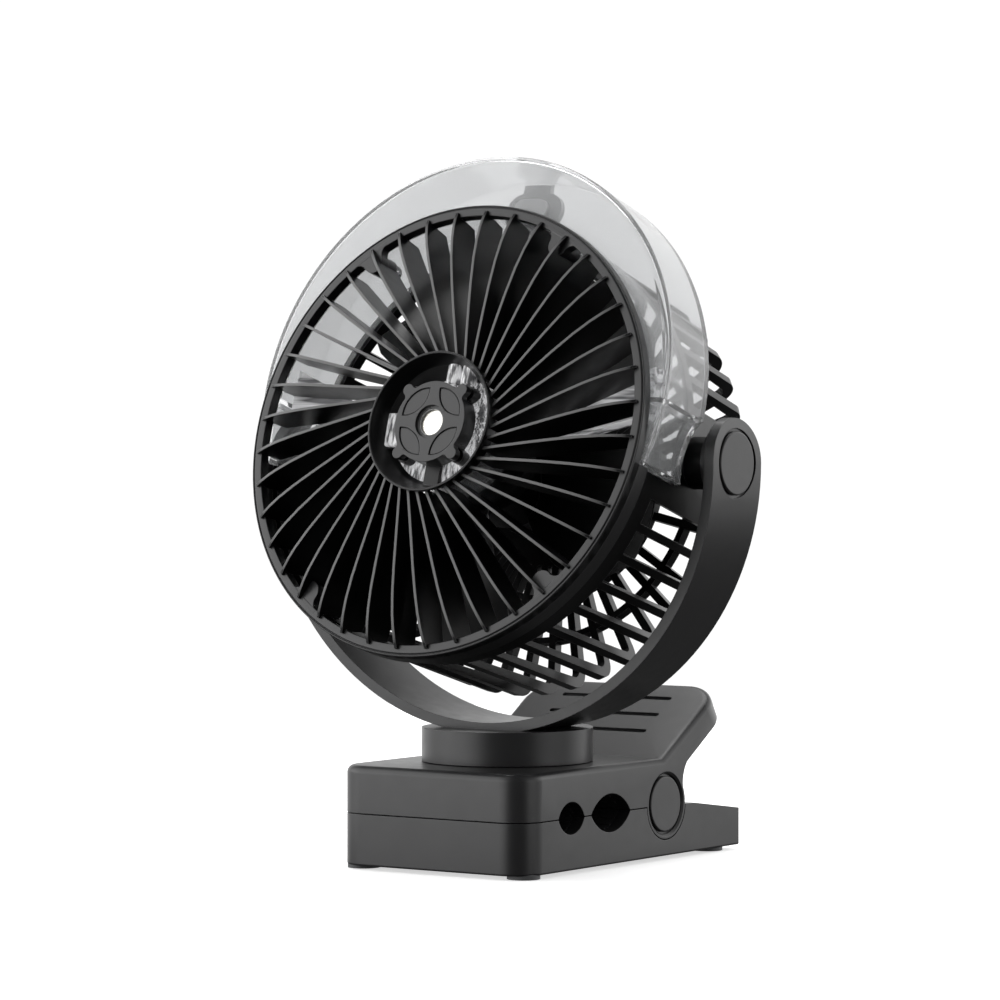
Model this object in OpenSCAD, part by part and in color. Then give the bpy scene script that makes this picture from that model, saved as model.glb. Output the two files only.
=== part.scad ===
// Clip-on misting fan for a tent or a camp table.
// The origin is on the swivel axis, in the plane under the feet.
// The fan blows towards -Y, +Z is up and the head tilts about an axis along X.

/* [Clip] */
// Width of both jaws
jaw_w = 88; // [80:1:100]
// Distance from the swivel axis to the front face of the jaws
jaw_front = 52.5; // [48:0.5:60]
// Distance from the swivel axis to the tail end of the lower jaw
tail_end = 99; // [94:0.5:110]
// Height of the parting line between the jaws
seam_z = 21.3; // [19:0.1:24]
// Height of the flat top of the upper jaw
jaw_top = 39.6; // [38:0.1:42]
// Plan radius of the front corners
corner_r = 12; // [8:0.5:16]
// Radius of the rounded top edges
edge_r = 3; // [2:0.25:4]
// Gap between the closed jaws
jaw_gap = 0.4; // [0.3:0.05:0.6]
// Wall of the jaws
jaw_wall = 2.6; // [2.2:0.1:3.2]

/* [Lever] */
// Where the flat top turns up into the lever
crease_y = 44; // [42:0.5:48]
// Slope of the lever
lever_angle = 32; // [26:0.5:34]
// Length of the lever along its slope
lever_len = 50; // [44:0.5:56]
// Thickness of the lever
lever_t = 10.6; // [8:0.2:12]
// Plan radius of the lever's far corners
lever_corner_r = 15; // [10:0.5:18]
// Length of the grip grooves
grip_len = 52; // [40:1:60]
// Width of the grip grooves
grip_w = 2.2; // [1.5:0.1:3]

/* [Hinge of the clip] */
// Distance of the hinge axis behind the swivel axis
hinge_y = 45.2; // [44:0.1:48]
// Height of the hinge axis
hinge_z = 21.7; // [20:0.1:24]
// Radius of the upper jaw's hinge barrel
barrel_r = 13.6; // [13:0.1:14.5]
// Radius of the hinge pin
pin_r = 2.5; // [2:0.1:3]
// Radius of the round caps over the hinge
hinge_cap_r = 11.6; // [10:0.1:12]
// Wire diameter of the closing springs
spring_wire = 1.4; // [1:0.1:1.6]
// Turns of each closing spring
spring_turns = 11; // [6:1:13]

/* [Pole grooves] */
// Chord of the large groove
groove_a_chord = 27.5; // [24:0.5:30]
// Depth of the large groove in each jaw
groove_a_rise = 7.4; // [6:0.1:7.6]
// Place of the large groove behind the swivel axis
groove_a_y = 5.8; // [3:0.1:8]
// Chord of the small groove
groove_b_chord = 17.8; // [14:0.5:19]
// Depth of the small groove in each jaw
groove_b_rise = 6.2; // [5:0.1:7]
// Place of the small groove in front of the swivel axis
groove_b_y = 21.2; // [20:0.1:23]
// Thickness of the rubber grip pads
pad_t = 1.7; // [1.4:0.1:2]

/* [Feet and battery] */
// How far the feet stand below the jaw
foot_h = 1.5; // [1:0.1:2.5]
// Radius of the feet
foot_r = 6.3; // [5:0.1:7]
// Thickness of the bottom cover
cover_t = 2; // [1.6:0.1:2.4]
// Length of the battery pack
battery_l = 68; // [50:1:72]
// Width of the battery pack
battery_w = 54; // [44:1:56]
// Radius of the screws that close the clip, the tank and the rear cover
case_screw_r = 1; // [0.8:0.1:1.2]

/* [Swivel and yoke] */
// Radius of the swivel neck
neck_r = 33.1; // [30:0.1:35]
// Height of the flat top of the neck
neck_top = 52.8; // [52:0.1:54]
// Radius of the swivel journal inside the neck
journal_r = 15.9; // [14:0.1:17]
// How deep the yoke's band sits in the top of the neck
yoke_sink = 1.6; // [1.2:0.1:2]
// Gap between the front ring and the inside of the yoke
yoke_gap = 10.9; // [10.4:0.1:12]
// Thickness of the yoke's band
yoke_t = 4.1; // [3.8:0.1:4.3]
// Width of the yoke's band
yoke_w = 34; // [30:0.5:36]
// Radius of the caps over the tilt pivots
pivot_cap_r = 12.9; // [11:0.1:13.5]
// Radius of the tilt journals
tilt_pin_r = 5; // [4:0.1:6]
// Radius of the head's pivot bosses
pivot_boss_r = 9.9; // [9:0.1:11]

/* [Head] */
// Tilt of the head above level, as it stands
tilt = 16.9; // [0:0.1:40]
// Outer radius of the front ring
ring_r = 89; // [80:0.5:98]
// Distance of the front ring's face ahead of the tilt axis
ring_z = 45; // [44:0.1:46]
// Width of the front ring's face
ring_w = 4.4; // [3.5:0.1:5]
// Depth of the front ring's band
band_depth = 10.6; // [9:0.1:12]
// Number of swirl vanes
vanes = 40; // [30:1:44]
// Thickness of a vane
vane_t = 1.8; // [1.4:0.1:2.2]
// Depth of a vane along the air flow
vane_depth = 11.6; // [8:0.1:12]
// How far the vanes lean round from ring to cup, in degrees
vane_sweep = 19; // [10:1:24]
// How far the grille bulges ahead of the ring
dome_h = 12.2; // [10:0.1:13]
// Radius of the cup round the mist nozzle
cup_r = 27.5; // [26:0.1:29]

/* [Mist nozzle] */
// Radius of the nozzle cap
cap_r = 15.8; // [15:0.1:17]
// Depth of the nozzle cap's face plate
cap_t = 3; // [2.4:0.1:3.4]
// Radius of the mist hole
mist_hole_r = 5; // [4:0.1:6]
// Radius of the atomiser disc
disc_r = 8; // [7.5:0.1:8.5]

/* [Water tank] */
// How much larger the tank's outer radius is than the air duct's
tank_over = 8.6; // [7.6:0.1:9.2]
// How far the outer wall's centre lies above the fan's axis
tank_rise = 17.6; // [16:0.1:19]
// Step from the ring's opening out to the air duct inside the tank
duct_step = 0.2; // [0.1:0.05:0.5]
// Depth of the tank along the air flow
tank_depth = 30.4; // [26:0.1:31]
// Wall of the tank
tank_wall = 1.8; // [1.5:0.1:2.2]
// How far the tank's ends reach below the tilt axis
tank_low = 12; // [9:0.1:13]

/* [Rear housing] */
// Wall of the housing where it meets the ring
house_wall = 2.2; // [1.8:0.1:2.6]
// How much smaller the housing's radius is at its rear corner
house_taper = 2; // [1:0.1:5]
// Distance of the rear face behind the tilt axis
house_back = 41; // [38:0.1:44]
// Radius of the rear corner
house_corner = 9; // [6:0.5:11]
// Thickness of the basket's slats across the air flow
slat_t = 3.2; // [2.4:0.1:3.6]
// Depth of the basket's slats
slat_depth = 4.2; // [3.4:0.1:4.6]
// Number of slats
slats = 42; // [30:1:44]
// Radius of the rear control cover
pod_r = 30; // [28:0.1:32]
// Depth of the rear control cover
pod_depth = 10; // [8:0.1:12]

/* [Fan and motor] */
// Number of fan blades
blades = 5; // [4:1:7]
// Clearance between the blade tips and the air duct
tip_gap = 7.8; // [7.3:0.1:12]
// Radius of the fan's hub
hub_r = 25; // [23.5:0.1:27]
// Radius of the motor's can
motor_r = 21; // [18:0.1:21.4]
// Radius of the motor's shaft
shaft_r = 1.6; // [1.2:0.1:2]

/* [Fits] */
// Clearance of a running fit, on the radius
run_fit = 0.05; // [0.02:0.01:0.1]
// Clearance between pieces that are assembled and stay put
seat_fit = 0.1; // [0.05:0.01:0.2]
// Clearance between faces that slide past each other
slide_gap = 0.3; // [0.2:0.05:0.5]
// Travel of the push buttons
button_travel = 1.2; // [0.8:0.1:1.6]

/* [Hidden] */
$fn = 96;

// Clip
jaw_half = jaw_w / 2;
far = 150;
seam_lo = seam_z - jaw_gap / 2;
seam_hi = seam_z + jaw_gap / 2;
tail_z = seam_z - 5;
tail_crest_y = hinge_y + barrel_r + 7;
barrel_seat_r = barrel_r + 0.4;
hinge_well_r = 10.5;
side_plate = 7;
lug_w = 8.5;
lug_r = 8.5;
lug_web = 14;
lug_out = jaw_half - side_plate - 0.5;
lower_edge_r = 0.8;
crest_drop = 0.4;
pin_half = jaw_half - 2.5;
pin_bore_r = pin_r + run_fit;
hinge_cap_t = 1.3;
hinge_cap_seat = 1.6;
cap_rim_gap = 0.2;
cap_bevel = 0.9;
spring_r = pin_r + slide_gap + spring_wire / 2;
spring_pitch = spring_wire * 0.94;
spring_inner_x = 5;
spring_leg = 8.6;
spring_leg_lean = 20;
pad_half = jaw_half - 5.5;
pad_front = -(groove_b_y + groove_b_chord / 2 + 5);
pad_back = groove_a_y + groove_a_chord / 2 + 3.5;
pad_rib_r = 0.45;
foot_x = jaw_half - foot_r - 0.7;
foot_y = [-(jaw_front - foot_r - 3.2), tail_end - foot_r - 6.7];
foot_sunk = 0.8;
cover_half = jaw_half - 2 * foot_r - 1.4;
cover_front = -(jaw_front - 4);
cover_back = tail_end - 5.5;
cover_z = foot_h + cover_t;
pack_top = seam_z - groove_a_rise - pad_t - 1;
pack_front = cover_front + 6.5;
case_head_r = 2 * case_screw_r + 0.2;
case_head_t = 0.8;
pilot_r = case_screw_r + seat_fit;
cover_recess = cover_t / 2;
cover_screw_l = 7;
screw_x = cover_half - 4;
screw_y = [cover_front + 3.2, cover_back - 3.4];
tail_board_l = 27;
tail_board_end = cover_back - 4;
tail_board_y = tail_board_end - tail_board_l;
tail_board_half = 18;
tail_board_t = 1.2;
tail_board_stand = 2.4;
board_post = 4;
board_post_l = 6;
usb_w = 9;
usb_h = 3.2;
usb_l = 7.4;
usb_tin = 0.4;
usb_z = cover_z + tail_board_stand + tail_board_t;

// Lever
well_wall_y = hinge_y + barrel_r - 1;
under_r = 12;
under_bite = 0.5;
side_trim = 0.02;
under_y = well_wall_y + under_r;
under_line_z = jaw_top - lever_t / cos(lever_angle) + (under_y - crease_y) * tan(lever_angle);
under_z = under_line_z - under_r / cos(lever_angle);
grip_pitch = 11;
grip_depth = 1.2;
grip_first = 17;

// Swivel
shell_top = jaw_top - jaw_wall;
bay_half = pad_half + 0.5;
bay_front = -(jaw_front - jaw_wall);
bay_back = hinge_y - hinge_well_r - 4.2;
upper_cover_top = seam_z + groove_a_rise + pad_t + 1.4;
swivel_bore_r = journal_r + run_fit;
neck_low = jaw_top + slide_gap;
washer_top = shell_top - slide_gap;
washer_t = 1.4;
washer_r = journal_r + 4;
wire_r = 6;
neck_wall = 2.5;
neck_plate = 3.6;
swivel_screw_r = 1.2;
swivel_screw_at = 11;
swivel_screw_l = 7.8;
yoke_screw_r = 1.4;
yoke_screw_x = 11.5;
yoke_screw_l = 7.2;
yoke_screw_head_r = 2.7;
yoke_screw_seat = neck_top - 5.5;
screw_head_t = 1.3;

// Yoke and tilt pivots
yoke_in_r = ring_r + yoke_gap;
yoke_r = yoke_in_r + yoke_t;
pivot_z = neck_top - yoke_sink + yoke_r;
boss_face = yoke_in_r - 3.7;
pivot_face = boss_face - 0.8;
cap_seat_x = yoke_r - 1.4;
pivot_pocket_x = cap_seat_x - 1.7;
pivot_pocket_r = 8;
pivot_rim = 0.9;
tilt_bore_r = tilt_pin_r + run_fit;
pivot_screw_r = 1.5;
pivot_head_r = 6.5;
pivot_screw_l = 4;

// Head, in its own frame: the air leaves along +Z, +Y is up, the tilt axis is X
band_back = ring_z - band_depth;
ring_in = ring_r - ring_w;
duct_r = ring_in + duct_step;
house_r = duct_r + house_wall;
house_rear_r = house_r - house_taper;
tank_r = duct_r + tank_over;
blade_r = duct_r - tip_gap;
band_t = ring_r - house_r + seat_fit;
ring_t = 4.4;
ring_line = 0.7;
tank_front = ring_z - ring_t - slide_gap;
tank_back = tank_front - tank_depth;
tank_edge = 3;
tank_lip = 1.2;
tank_draft = 0.6;
notch_r = pivot_boss_r + 6.6;
vane_in = cup_r - 0.4;
vane_out = ring_in + 1.7;
dome_edge = 0.6;
dome_steps = 8;
vane_steps = 4;
vane_bulge = 1;
boss_vanes = [6, 13, 25, 34];
vane_phase = 8;
ring_boss_r = 4.2;
boss_fillet_r = 4;
boss_bite = 0.25;
ring_boss_at = ring_in - 3.2;
cup_z = ring_z + dome_h + 0.3;
cup_wall = 1.6;
cup_lip = 1.5;
cup_floor = ring_z;
cup_low_r = cup_r - 3.4;
rib_w = 5;
rib_h = 1.8;
seat_r = cap_r - 1.9;
seat_wall = 3.2;
seat_top = ring_z + 7.6;
cap_rise = 11;
cap_front = ring_z + cap_rise;
cap_skirt_low = ring_z + 3;
lobe_r = 2.5;
lobe_at = cap_r + 0.6;
leaf_r = 8.2;
leaf_off = 5.1;
leaf_at = (mist_hole_r + cap_r) / 2 + 0.5;
leaf_line = 0.6;
leaf_deep = 0.5;
hub_chamber_r = cup_low_r - 0.8;
chamber_back = 29;
chamber_front = cup_floor - slide_gap;
spout_r = seat_r - seat_wall - slide_gap;
spout_top = seat_top - 1.6;
disc_t = 0.6;
seal_t = 0.9;
seal_rim = 0.6;
wick_r = 4;
arm_front = 33;
arm_back = 27;
arm_root = [-5, 3.5];
arm_top = 13.5;
tube_r = 3.1;
tube_x = 3.9;
tube_l = 10;

// Rear housing
window_front = 23.5;
tank_ring = 4.6;
tank_ring_w = 12;
pivot_sector = 12.5;
corner_in = house_corner - slat_depth;
hub_plate_r = pod_r + 2;
motor_socket_r = motor_r + 2.6;
rear_ring_r = [hub_plate_r + 13, hub_plate_r + 30];
rear_ring_w = 2.6;
screw_post_r = 3.6;
post_rise = 0.6;
post_h = 4;
post_web = 4.8;
grille_screw_l = 6;
socket_depth = 16;

// Motor and controls
motor_back = -house_back + slat_depth + seat_fit;
motor_front = -8;
fan_back = motor_front + 2;
fan_front = 16;
fan_wall = 2;
fan_boss_r = 5;
fan_edge_r = 4;
shaft_front = fan_front - fan_wall - 1;
bearing_r = 4;
bearing_l = 4;
motor_wall = 1.6;
motor_end = bearing_l + 1;
motor_screw_at = 13;
motor_screw_l = 3.3;
blade_mid = 8;
blade_t = 1.6;
blade_chord = 62;
blade_taper = 14;
blade_tip = 16;
blade_sweep = 14;
blade_rise = 21;
blade_rise_taper = 8;
blade_camber = 3.2;
blade_rows = 8;
blade_cols = 6;
blade_phase = 114;
pod_front = -house_back - seat_fit;
pod_back = pod_front - pod_depth;
pod_wall = 2;
pod_edge = 4;
board_t = 1.4;
button_r = 5;
button_rim = 1;
button_flange = 0.7;
button_edge = 0.8;
button_x = 10;
button_proud = button_travel + seat_fit;
switch_h = 0.7;
board_back = pod_back + pod_wall + button_flange + button_travel + switch_h;
light_y = 11;
light_r = 1.6;
cover_screw_at = 22;
cover_post_r = 2.9;
cover_sink = 1.6;
cover_screw_reach = 3.5;

// Filler plug
plug_y = (duct_r + tank_r + tank_rise) / 2 + 0.4;
plug_w = 25.6;
plug_h = 14;
plug_t = 2.4;
plug_stem = 0.62;
tab_w = 12.4;
tab_reach = 4;

module in_head() {
    translate([0, 0, pivot_z]) rotate([90 - tilt, 0, 0]) children();
}

// A (Y, Z) outline pushed along X
module along_x(x0, x1) {
    translate([x0, 0, 0]) rotate([90, 0, 90]) linear_extrude(x1 - x0) children();
}

module x_rod(r, x0, x1) {
    translate([x0, 0, 0]) rotate([0, 90, 0]) cylinder(r = r, h = x1 - x0);
}

module at_hinge() {
    translate([0, hinge_y, hinge_z]) children();
}

module both_sides() {
    children();
    mirror([1, 0, 0]) children();
}

// Section of a block whose two upper edges are rounded
module rounded_top(half, z0, z1, er) {
    translate([-half, z0]) square([2 * half, z1 - er - z0]);
    translate([-(half - er), z0]) square([2 * (half - er), z1 - z0]);
    for (s = [-1, 1]) translate([s * (half - er), z1 - er]) circle(er);
}

// A block with rounded corners in plan at its front and rounded upper edges
module soft_block(half, y0, y1, z0, z1, cr, er) {
    translate([0, y1, 0]) rotate([90, 0, 0]) linear_extrude(y1 - y0 - cr) rounded_top(half, z0, z1, er);
    along_x(-(half - cr), half - cr) translate([y0 + cr, 0]) rounded_top(cr, z0, z1, er);
    for (s = [-1, 1]) translate([s * (half - cr), y0 + cr, 0])
        rotate_extrude() intersection() {
            rounded_top(cr, z0, z1, er);
            translate([0, z0]) square([cr, z1 - z0]);
        }
}

function arc_r(chord, rise) = (chord * chord / 4 + rise * rise) / (2 * rise);

// Circles of the two pole grooves; side is 1 for the lower jaw and -1 for the upper one
module groove_circles(side, grow = 0) {
    ra = arc_r(groove_a_chord, groove_a_rise);
    rb = arc_r(groove_b_chord, groove_b_rise);
    translate([groove_a_y, seam_z + side * (ra - groove_a_rise)]) circle(ra + grow);
    translate([-groove_b_y, seam_z + side * (rb - groove_b_rise)]) circle(rb + grow);
}

// Outline of a grip pad, grown for its pocket
module pad_outline(side, grow = 0) {
    face = side == 1 ? seam_lo : seam_hi;
    depth = pad_t + grow;
    run = pad_back - pad_front + 2 * grow;
    deep = groove_a_rise + 2 * pad_t;
    translate([pad_front - grow, side == 1 ? face - depth : face]) square([run, depth]);
    intersection() {
        groove_circles(side, depth);
        translate([pad_front - grow, side == 1 ? face - deep : face]) square([run, deep]);
    }
}

module pad_ribs(side) {
    for (g = [[groove_a_y, groove_a_chord, groove_a_rise], [-groove_b_y, groove_b_chord, groove_b_rise]]) {
        r = arc_r(g[1], g[2]);
        span = asin(g[1] / 2 / r);
        for (a = [-0.75:0.25:0.75])
            translate([g[0] + r * sin(a * span), seam_z + side * (r - g[2] - r * cos(a * span))])
                circle(pad_rib_r);
    }
}

module grip_pad(side) {
    along_x(-pad_half, pad_half) {
        difference() {
            pad_outline(side);
            groove_circles(side);
        }
        pad_ribs(side);
    }
}

module lower_jaw() {
    color([0.16, 0.16, 0.17]) difference() {
        union() {
            difference() {
                intersection() {
                    mirror([0, 0, 1])
                        soft_block(jaw_half, -jaw_front, tail_end, -seam_lo, -foot_h, corner_r, lower_edge_r);
                    along_x(-jaw_half, jaw_half)
                        polygon([[-jaw_front, foot_h], [tail_end, foot_h], [tail_end, tail_z],
                            [tail_crest_y, seam_lo - crest_drop], [hinge_y, seam_lo], [-jaw_front, seam_lo]]);
                }
                at_hinge() x_rod(barrel_seat_r, -far, far);
            }
            both_sides() translate([lug_out - lug_w, 0, 0]) {
                at_hinge() x_rod(lug_r, 0, lug_w);
                translate([0, hinge_y - lug_web / 2, cover_z]) cube([lug_w, lug_web, hinge_z - cover_z]);
            }
        }
        at_hinge() x_rod(pin_r + seat_fit / 2, -jaw_half, jaw_half);
        along_x(-far, far) groove_circles(1);
        along_x(-pad_half - seat_fit, pad_half + seat_fit) pad_outline(1, seat_fit);
        translate([-battery_w / 2 - seat_fit, pack_front, foot_h])
            cube([battery_w + 2 * seat_fit, battery_l + 2 * seat_fit, pack_top - foot_h]);
        translate([0, 0, foot_h - 1]) linear_extrude(cover_t + 1 + seat_fit) bottom_outline(seat_fit);
        foot_spots() cylinder(r = foot_r + seat_fit, h = foot_h + foot_sunk);
        cover_spots() cylinder(r = pilot_r, h = cover_z + cover_screw_l);
        translate([-tail_board_half - slide_gap, tail_board_y - slide_gap, foot_h])
            cube([2 * (tail_board_half + slide_gap), tail_board_end - tail_board_y + 2 * slide_gap,
                usb_z + usb_h - foot_h + 1]);
        translate([0, tail_board_y, usb_z + usb_h / 2]) rotate([-90, 0, 0])
            linear_extrude(far) slot((usb_w - usb_h) / 2, usb_h / 2 + seat_fit);
    }
}

module foot_spots() {
    for (x = [-foot_x, foot_x], y = foot_y) translate([x, y, 0]) children();
}

module cover_spots() {
    for (x = [-screw_x, screw_x], y = screw_y) translate([x, y, 0]) children();
}

// A screw whose head lies under z = 0 and whose shank rises from it
module screw(r, reach, head_r, head_t) {
    translate([0, 0, -head_t]) cylinder(r = head_r, h = head_t);
    translate([0, 0, -head_t / 2]) cylinder(r = r, h = reach + head_t / 2);
}

module bottom_outline(grow) {
    r = 6;
    run = cover_back - cover_front;
    for (s = [-1, 1], y = [cover_front + r, cover_back - r])
        translate([s * (cover_half - r), y]) circle(r + grow);
    translate([-cover_half - grow, cover_front + r]) square([2 * (cover_half + grow), run - 2 * r]);
    translate([-cover_half + r, cover_front - grow])
        square([2 * (cover_half - r), run + 2 * grow]);
}

module bottom_cover() {
    color([0.15, 0.15, 0.16]) translate([0, 0, foot_h]) difference() {
        linear_extrude(cover_t) bottom_outline(0);
        cover_spots() {
            translate([0, 0, -1]) cylinder(r = pilot_r + seat_fit, h = cover_t + 2);
            translate([0, 0, -1]) cylinder(r = case_head_r + 2 * seat_fit, h = cover_recess + 1);
        }
    }
}

module bottom_screws() {
    color([0.7, 0.7, 0.72]) translate([0, 0, foot_h + cover_recess])
        cover_spots() screw(case_screw_r, cover_recess + cover_screw_l - 1, case_head_r, case_head_t);
}

module feet() {
    color([0.55, 0.55, 0.56]) foot_spots() cylinder(r = foot_r, h = foot_h + foot_sunk - seat_fit / 2);
}

module battery() {
    color([0.35, 0.5, 0.75]) translate([-battery_w / 2, pack_front + seat_fit, cover_z + seat_fit])
        cube([battery_w, battery_l, pack_top - cover_z - 2 * seat_fit]);
}

module charge_board() {
    color([0.1, 0.4, 0.2]) {
        translate([-tail_board_half, tail_board_y, cover_z + tail_board_stand])
            cube([2 * tail_board_half, tail_board_end - tail_board_y, tail_board_t]);
        both_sides()
            translate([tail_board_half - 2 * board_post, tail_board_y + board_post, cover_z + seat_fit])
                cube([board_post, board_post_l, tail_board_stand]);
    }
}

module usb_port() {
    r = usb_h / 2;
    color([0.78, 0.78, 0.8]) translate([0, tail_end - usb_tin, usb_z + r]) rotate([90, 0, 0]) difference() {
        linear_extrude(usb_l + 4) slot(usb_w / 2 - r, r);
        translate([0, 0, -1]) linear_extrude(usb_l) slot(usb_w / 2 - r, r - usb_tin);
    }
}

// A slot with round ends, given by half its straight length and its end radius
module slot(half, r) {
    square([2 * half, 2 * r], center = true);
    for (s = [-1, 1]) translate([s * half, 0]) circle(r);
}

module lower_pad() {
    color([0.1, 0.1, 0.1]) grip_pad(1);
}

module upper_pad() {
    color([0.1, 0.1, 0.1]) grip_pad(-1);
}

module hinge_pin() {
    color([0.75, 0.75, 0.77]) at_hinge() x_rod(pin_r, -pin_half, pin_half);
}

// Each spring is drawn wound, with its turns touching as they do in the closed clip
module torsion_springs() {
    color([0.6, 0.6, 0.62]) both_sides() at_hinge() {
        translate([spring_inner_x, 0, 0]) rotate([0, 90, 0]) rotate_extrude()
            for (i = [0:spring_turns - 1]) translate([spring_r, i * spring_pitch]) circle(spring_wire / 2);
        translate([spring_inner_x, -spring_r, 0]) rotate([-spring_leg_lean, 0, 0])
            cylinder(r = spring_wire / 2, h = spring_leg);
        translate([spring_inner_x + (spring_turns - 1) * spring_pitch, spring_r, 0]) rotate([180, 0, 0])
            cylinder(r = spring_wire / 2, h = spring_leg);
    }
}

module lever_frame() {
    translate([0, crease_y, jaw_top]) rotate([lever_angle, 0, 0]) children();
}

function on_lever(s, depth) = [crease_y + s * cos(lever_angle) + depth * sin(lever_angle),
    jaw_top + s * sin(lever_angle) - depth * cos(lever_angle)];

module under_lever() {
    difference() {
        polygon([[crease_y - barrel_r, seam_hi], [well_wall_y, seam_hi], [well_wall_y, under_z],
            [under_y, under_z],
            [under_y - under_r * sin(lever_angle), under_z + under_r * cos(lever_angle)],
            on_lever(2 * under_r, lever_t - 1), on_lever(2 * under_r - edge_r, edge_r + 2),
            on_lever(0, edge_r + 1), [crease_y - barrel_r, jaw_top - edge_r]]);
        translate([under_y, under_z]) circle(under_r + under_bite);
    }
}

module upper_jaw() {
    color([0.17, 0.17, 0.18]) difference() {
        union() {
            soft_block(jaw_half, -jaw_front, crease_y + edge_r, seam_hi, jaw_top, corner_r, edge_r);
            lever_frame() mirror([0, 1, 0])
                soft_block(jaw_half + side_trim, -lever_len, lever_t / 2, -lever_t, 0,
                    lever_corner_r, edge_r);
            along_x(-jaw_half - 2 * side_trim, jaw_half + 2 * side_trim) under_lever();
            at_hinge() x_rod(barrel_r, -jaw_half - 3 * side_trim, jaw_half + 3 * side_trim);
        }
        // Sides cut flush across the block, the lever, its web and the barrel
        both_sides() translate([jaw_half - side_trim, -far, -far]) cube(2 * far);
        // Well for the lower jaw's lugs and the springs
        well_half = jaw_half - side_plate;
        at_hinge() x_rod(hinge_well_r, -well_half, well_half);
        translate([-well_half, hinge_y - barrel_r - 1, seam_hi - far])
            cube([2 * well_half, 2 * barrel_r + 2, far]);
        at_hinge() x_rod(pin_bore_r, -pin_half - slide_gap, pin_half + slide_gap);
        both_sides() at_hinge() {
            x_rod(hinge_cap_r + cap_rim_gap, jaw_half - hinge_cap_seat, far);
            translate([jaw_half - cap_bevel, 0, 0]) rotate([0, 90, 0])
                cylinder(r1 = hinge_cap_r, r2 = hinge_cap_r + cap_bevel + 0.2, h = cap_bevel + 0.01);
        }
        along_x(-far, far) groove_circles(-1);
        // Bay closed by the inner cover
        translate([-bay_half, bay_front, seam_hi - 1])
            cube([2 * bay_half, bay_back - bay_front, shell_top - seam_hi + 1]);
        translate([0, 0, shell_top - 1]) cylinder(r = swivel_bore_r, h = jaw_wall + 2);
        for (i = [0:2]) lever_frame() translate([0, grip_first + i * grip_pitch, -grip_depth])
            linear_extrude(grip_depth + 1) slot(grip_len / 2 - grip_w / 2, grip_w / 2);
    }
}

module upper_cover() {
    color([0.13, 0.13, 0.14]) difference() {
        translate([-bay_half + seat_fit, bay_front + seat_fit, seam_hi])
            cube([2 * (bay_half - seat_fit), bay_back - bay_front - 2 * seat_fit, upper_cover_top - seam_hi]);
        along_x(-far, far) groove_circles(-1);
        along_x(-pad_half - seat_fit, pad_half + seat_fit) pad_outline(-1, seat_fit);
    }
}

module hinge_caps() {
    color([0.2, 0.2, 0.21]) both_sides() at_hinge() translate([jaw_half - hinge_cap_seat + seat_fit, 0, 0])
        rotate([0, 90, 0]) cap_disc(hinge_cap_r, hinge_cap_t);
}

// A round cap with a softened rim
module cap_disc(r, t) {
    rim = t / 3;
    rotate_extrude() polygon([[0, 0], [r, 0], [r, t - rim], [r - rim, t], [0, t]]);
}

module swivel_washer() {
    color([0.7, 0.7, 0.72]) translate([0, 0, washer_top - washer_t]) difference() {
        cylinder(r = washer_r, h = washer_t);
        translate([0, 0, -1]) cylinder(r = wire_r, h = washer_t + 2);
        swivel_screw_spots() translate([0, 0, -1]) cylinder(r = swivel_screw_r + seat_fit, h = washer_t + 2);
        yoke_screw_spots() translate([0, 0, -1])
            cylinder(r = yoke_screw_head_r + 2 * seat_fit, h = washer_t + 2);
    }
}

module swivel_screw_spots() {
    for (a = [90, 210, 330]) rotate([0, 0, a]) translate([swivel_screw_at, 0, 0]) children();
}

module yoke_screw_spots() {
    for (s = [-1, 1]) translate([s * yoke_screw_x, 0, 0]) children();
}

module swivel_screws() {
    color([0.75, 0.75, 0.77]) translate([0, 0, washer_top - washer_t - seat_fit]) swivel_screw_spots()
        screw(swivel_screw_r, swivel_screw_l, 2 * swivel_screw_r - 0.2, screw_head_t);
}

module neck() {
    color([0.18, 0.18, 0.19]) difference() {
        plate = neck_top - neck_plate;
        inner = neck_r - neck_wall;
        rotate_extrude() polygon([[wire_r, washer_top], [journal_r, washer_top], [journal_r, plate],
            [inner, plate], [inner, neck_low], [neck_r, neck_low], [neck_r, neck_top], [wire_r, neck_top]]);
        translate([0, 0, pivot_z]) rotate([90, 0, 0])
            cylinder(r = yoke_r + seat_fit / 2, h = yoke_w + seat_fit, center = true);
        yoke_screw_spots() {
            cylinder(r = yoke_screw_r + seat_fit, h = far);
            cylinder(r = yoke_screw_head_r + 2 * seat_fit, h = yoke_screw_seat);
        }
        swivel_screw_spots() cylinder(r = swivel_screw_r + seat_fit / 2, h = washer_top + swivel_screw_l);
    }
}

module yoke() {
    color([0.2, 0.2, 0.21]) difference() {
        union() {
            intersection() {
                translate([0, 0, pivot_z]) rotate([90, 0, 0]) difference() {
                    cylinder(r = yoke_r, h = yoke_w, center = true, $fn = 180);
                    cylinder(r = yoke_in_r, h = yoke_w + 1, center = true, $fn = 180);
                }
                union() {
                    translate([-far, -yoke_w, pivot_z - far]) cube([2 * far, 2 * yoke_w, far]);
                    translate([0, 0, pivot_z]) x_rod(yoke_w / 2, -far, far);
                }
            }
            both_sides() translate([0, 0, pivot_z]) x_rod(pivot_cap_r + pivot_rim, boss_face, cap_seat_x);
        }
        both_sides() translate([0, 0, pivot_z]) {
            x_rod(tilt_bore_r, boss_face - 1, far);
            x_rod(pivot_pocket_r, pivot_pocket_x, far);
            x_rod(pivot_cap_r + cap_rim_gap, cap_seat_x, far);
        }
        yoke_screw_spots()
            cylinder(r = yoke_screw_r + seat_fit / 2, h = yoke_screw_seat + yoke_screw_l + seat_fit);
    }
}

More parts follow.
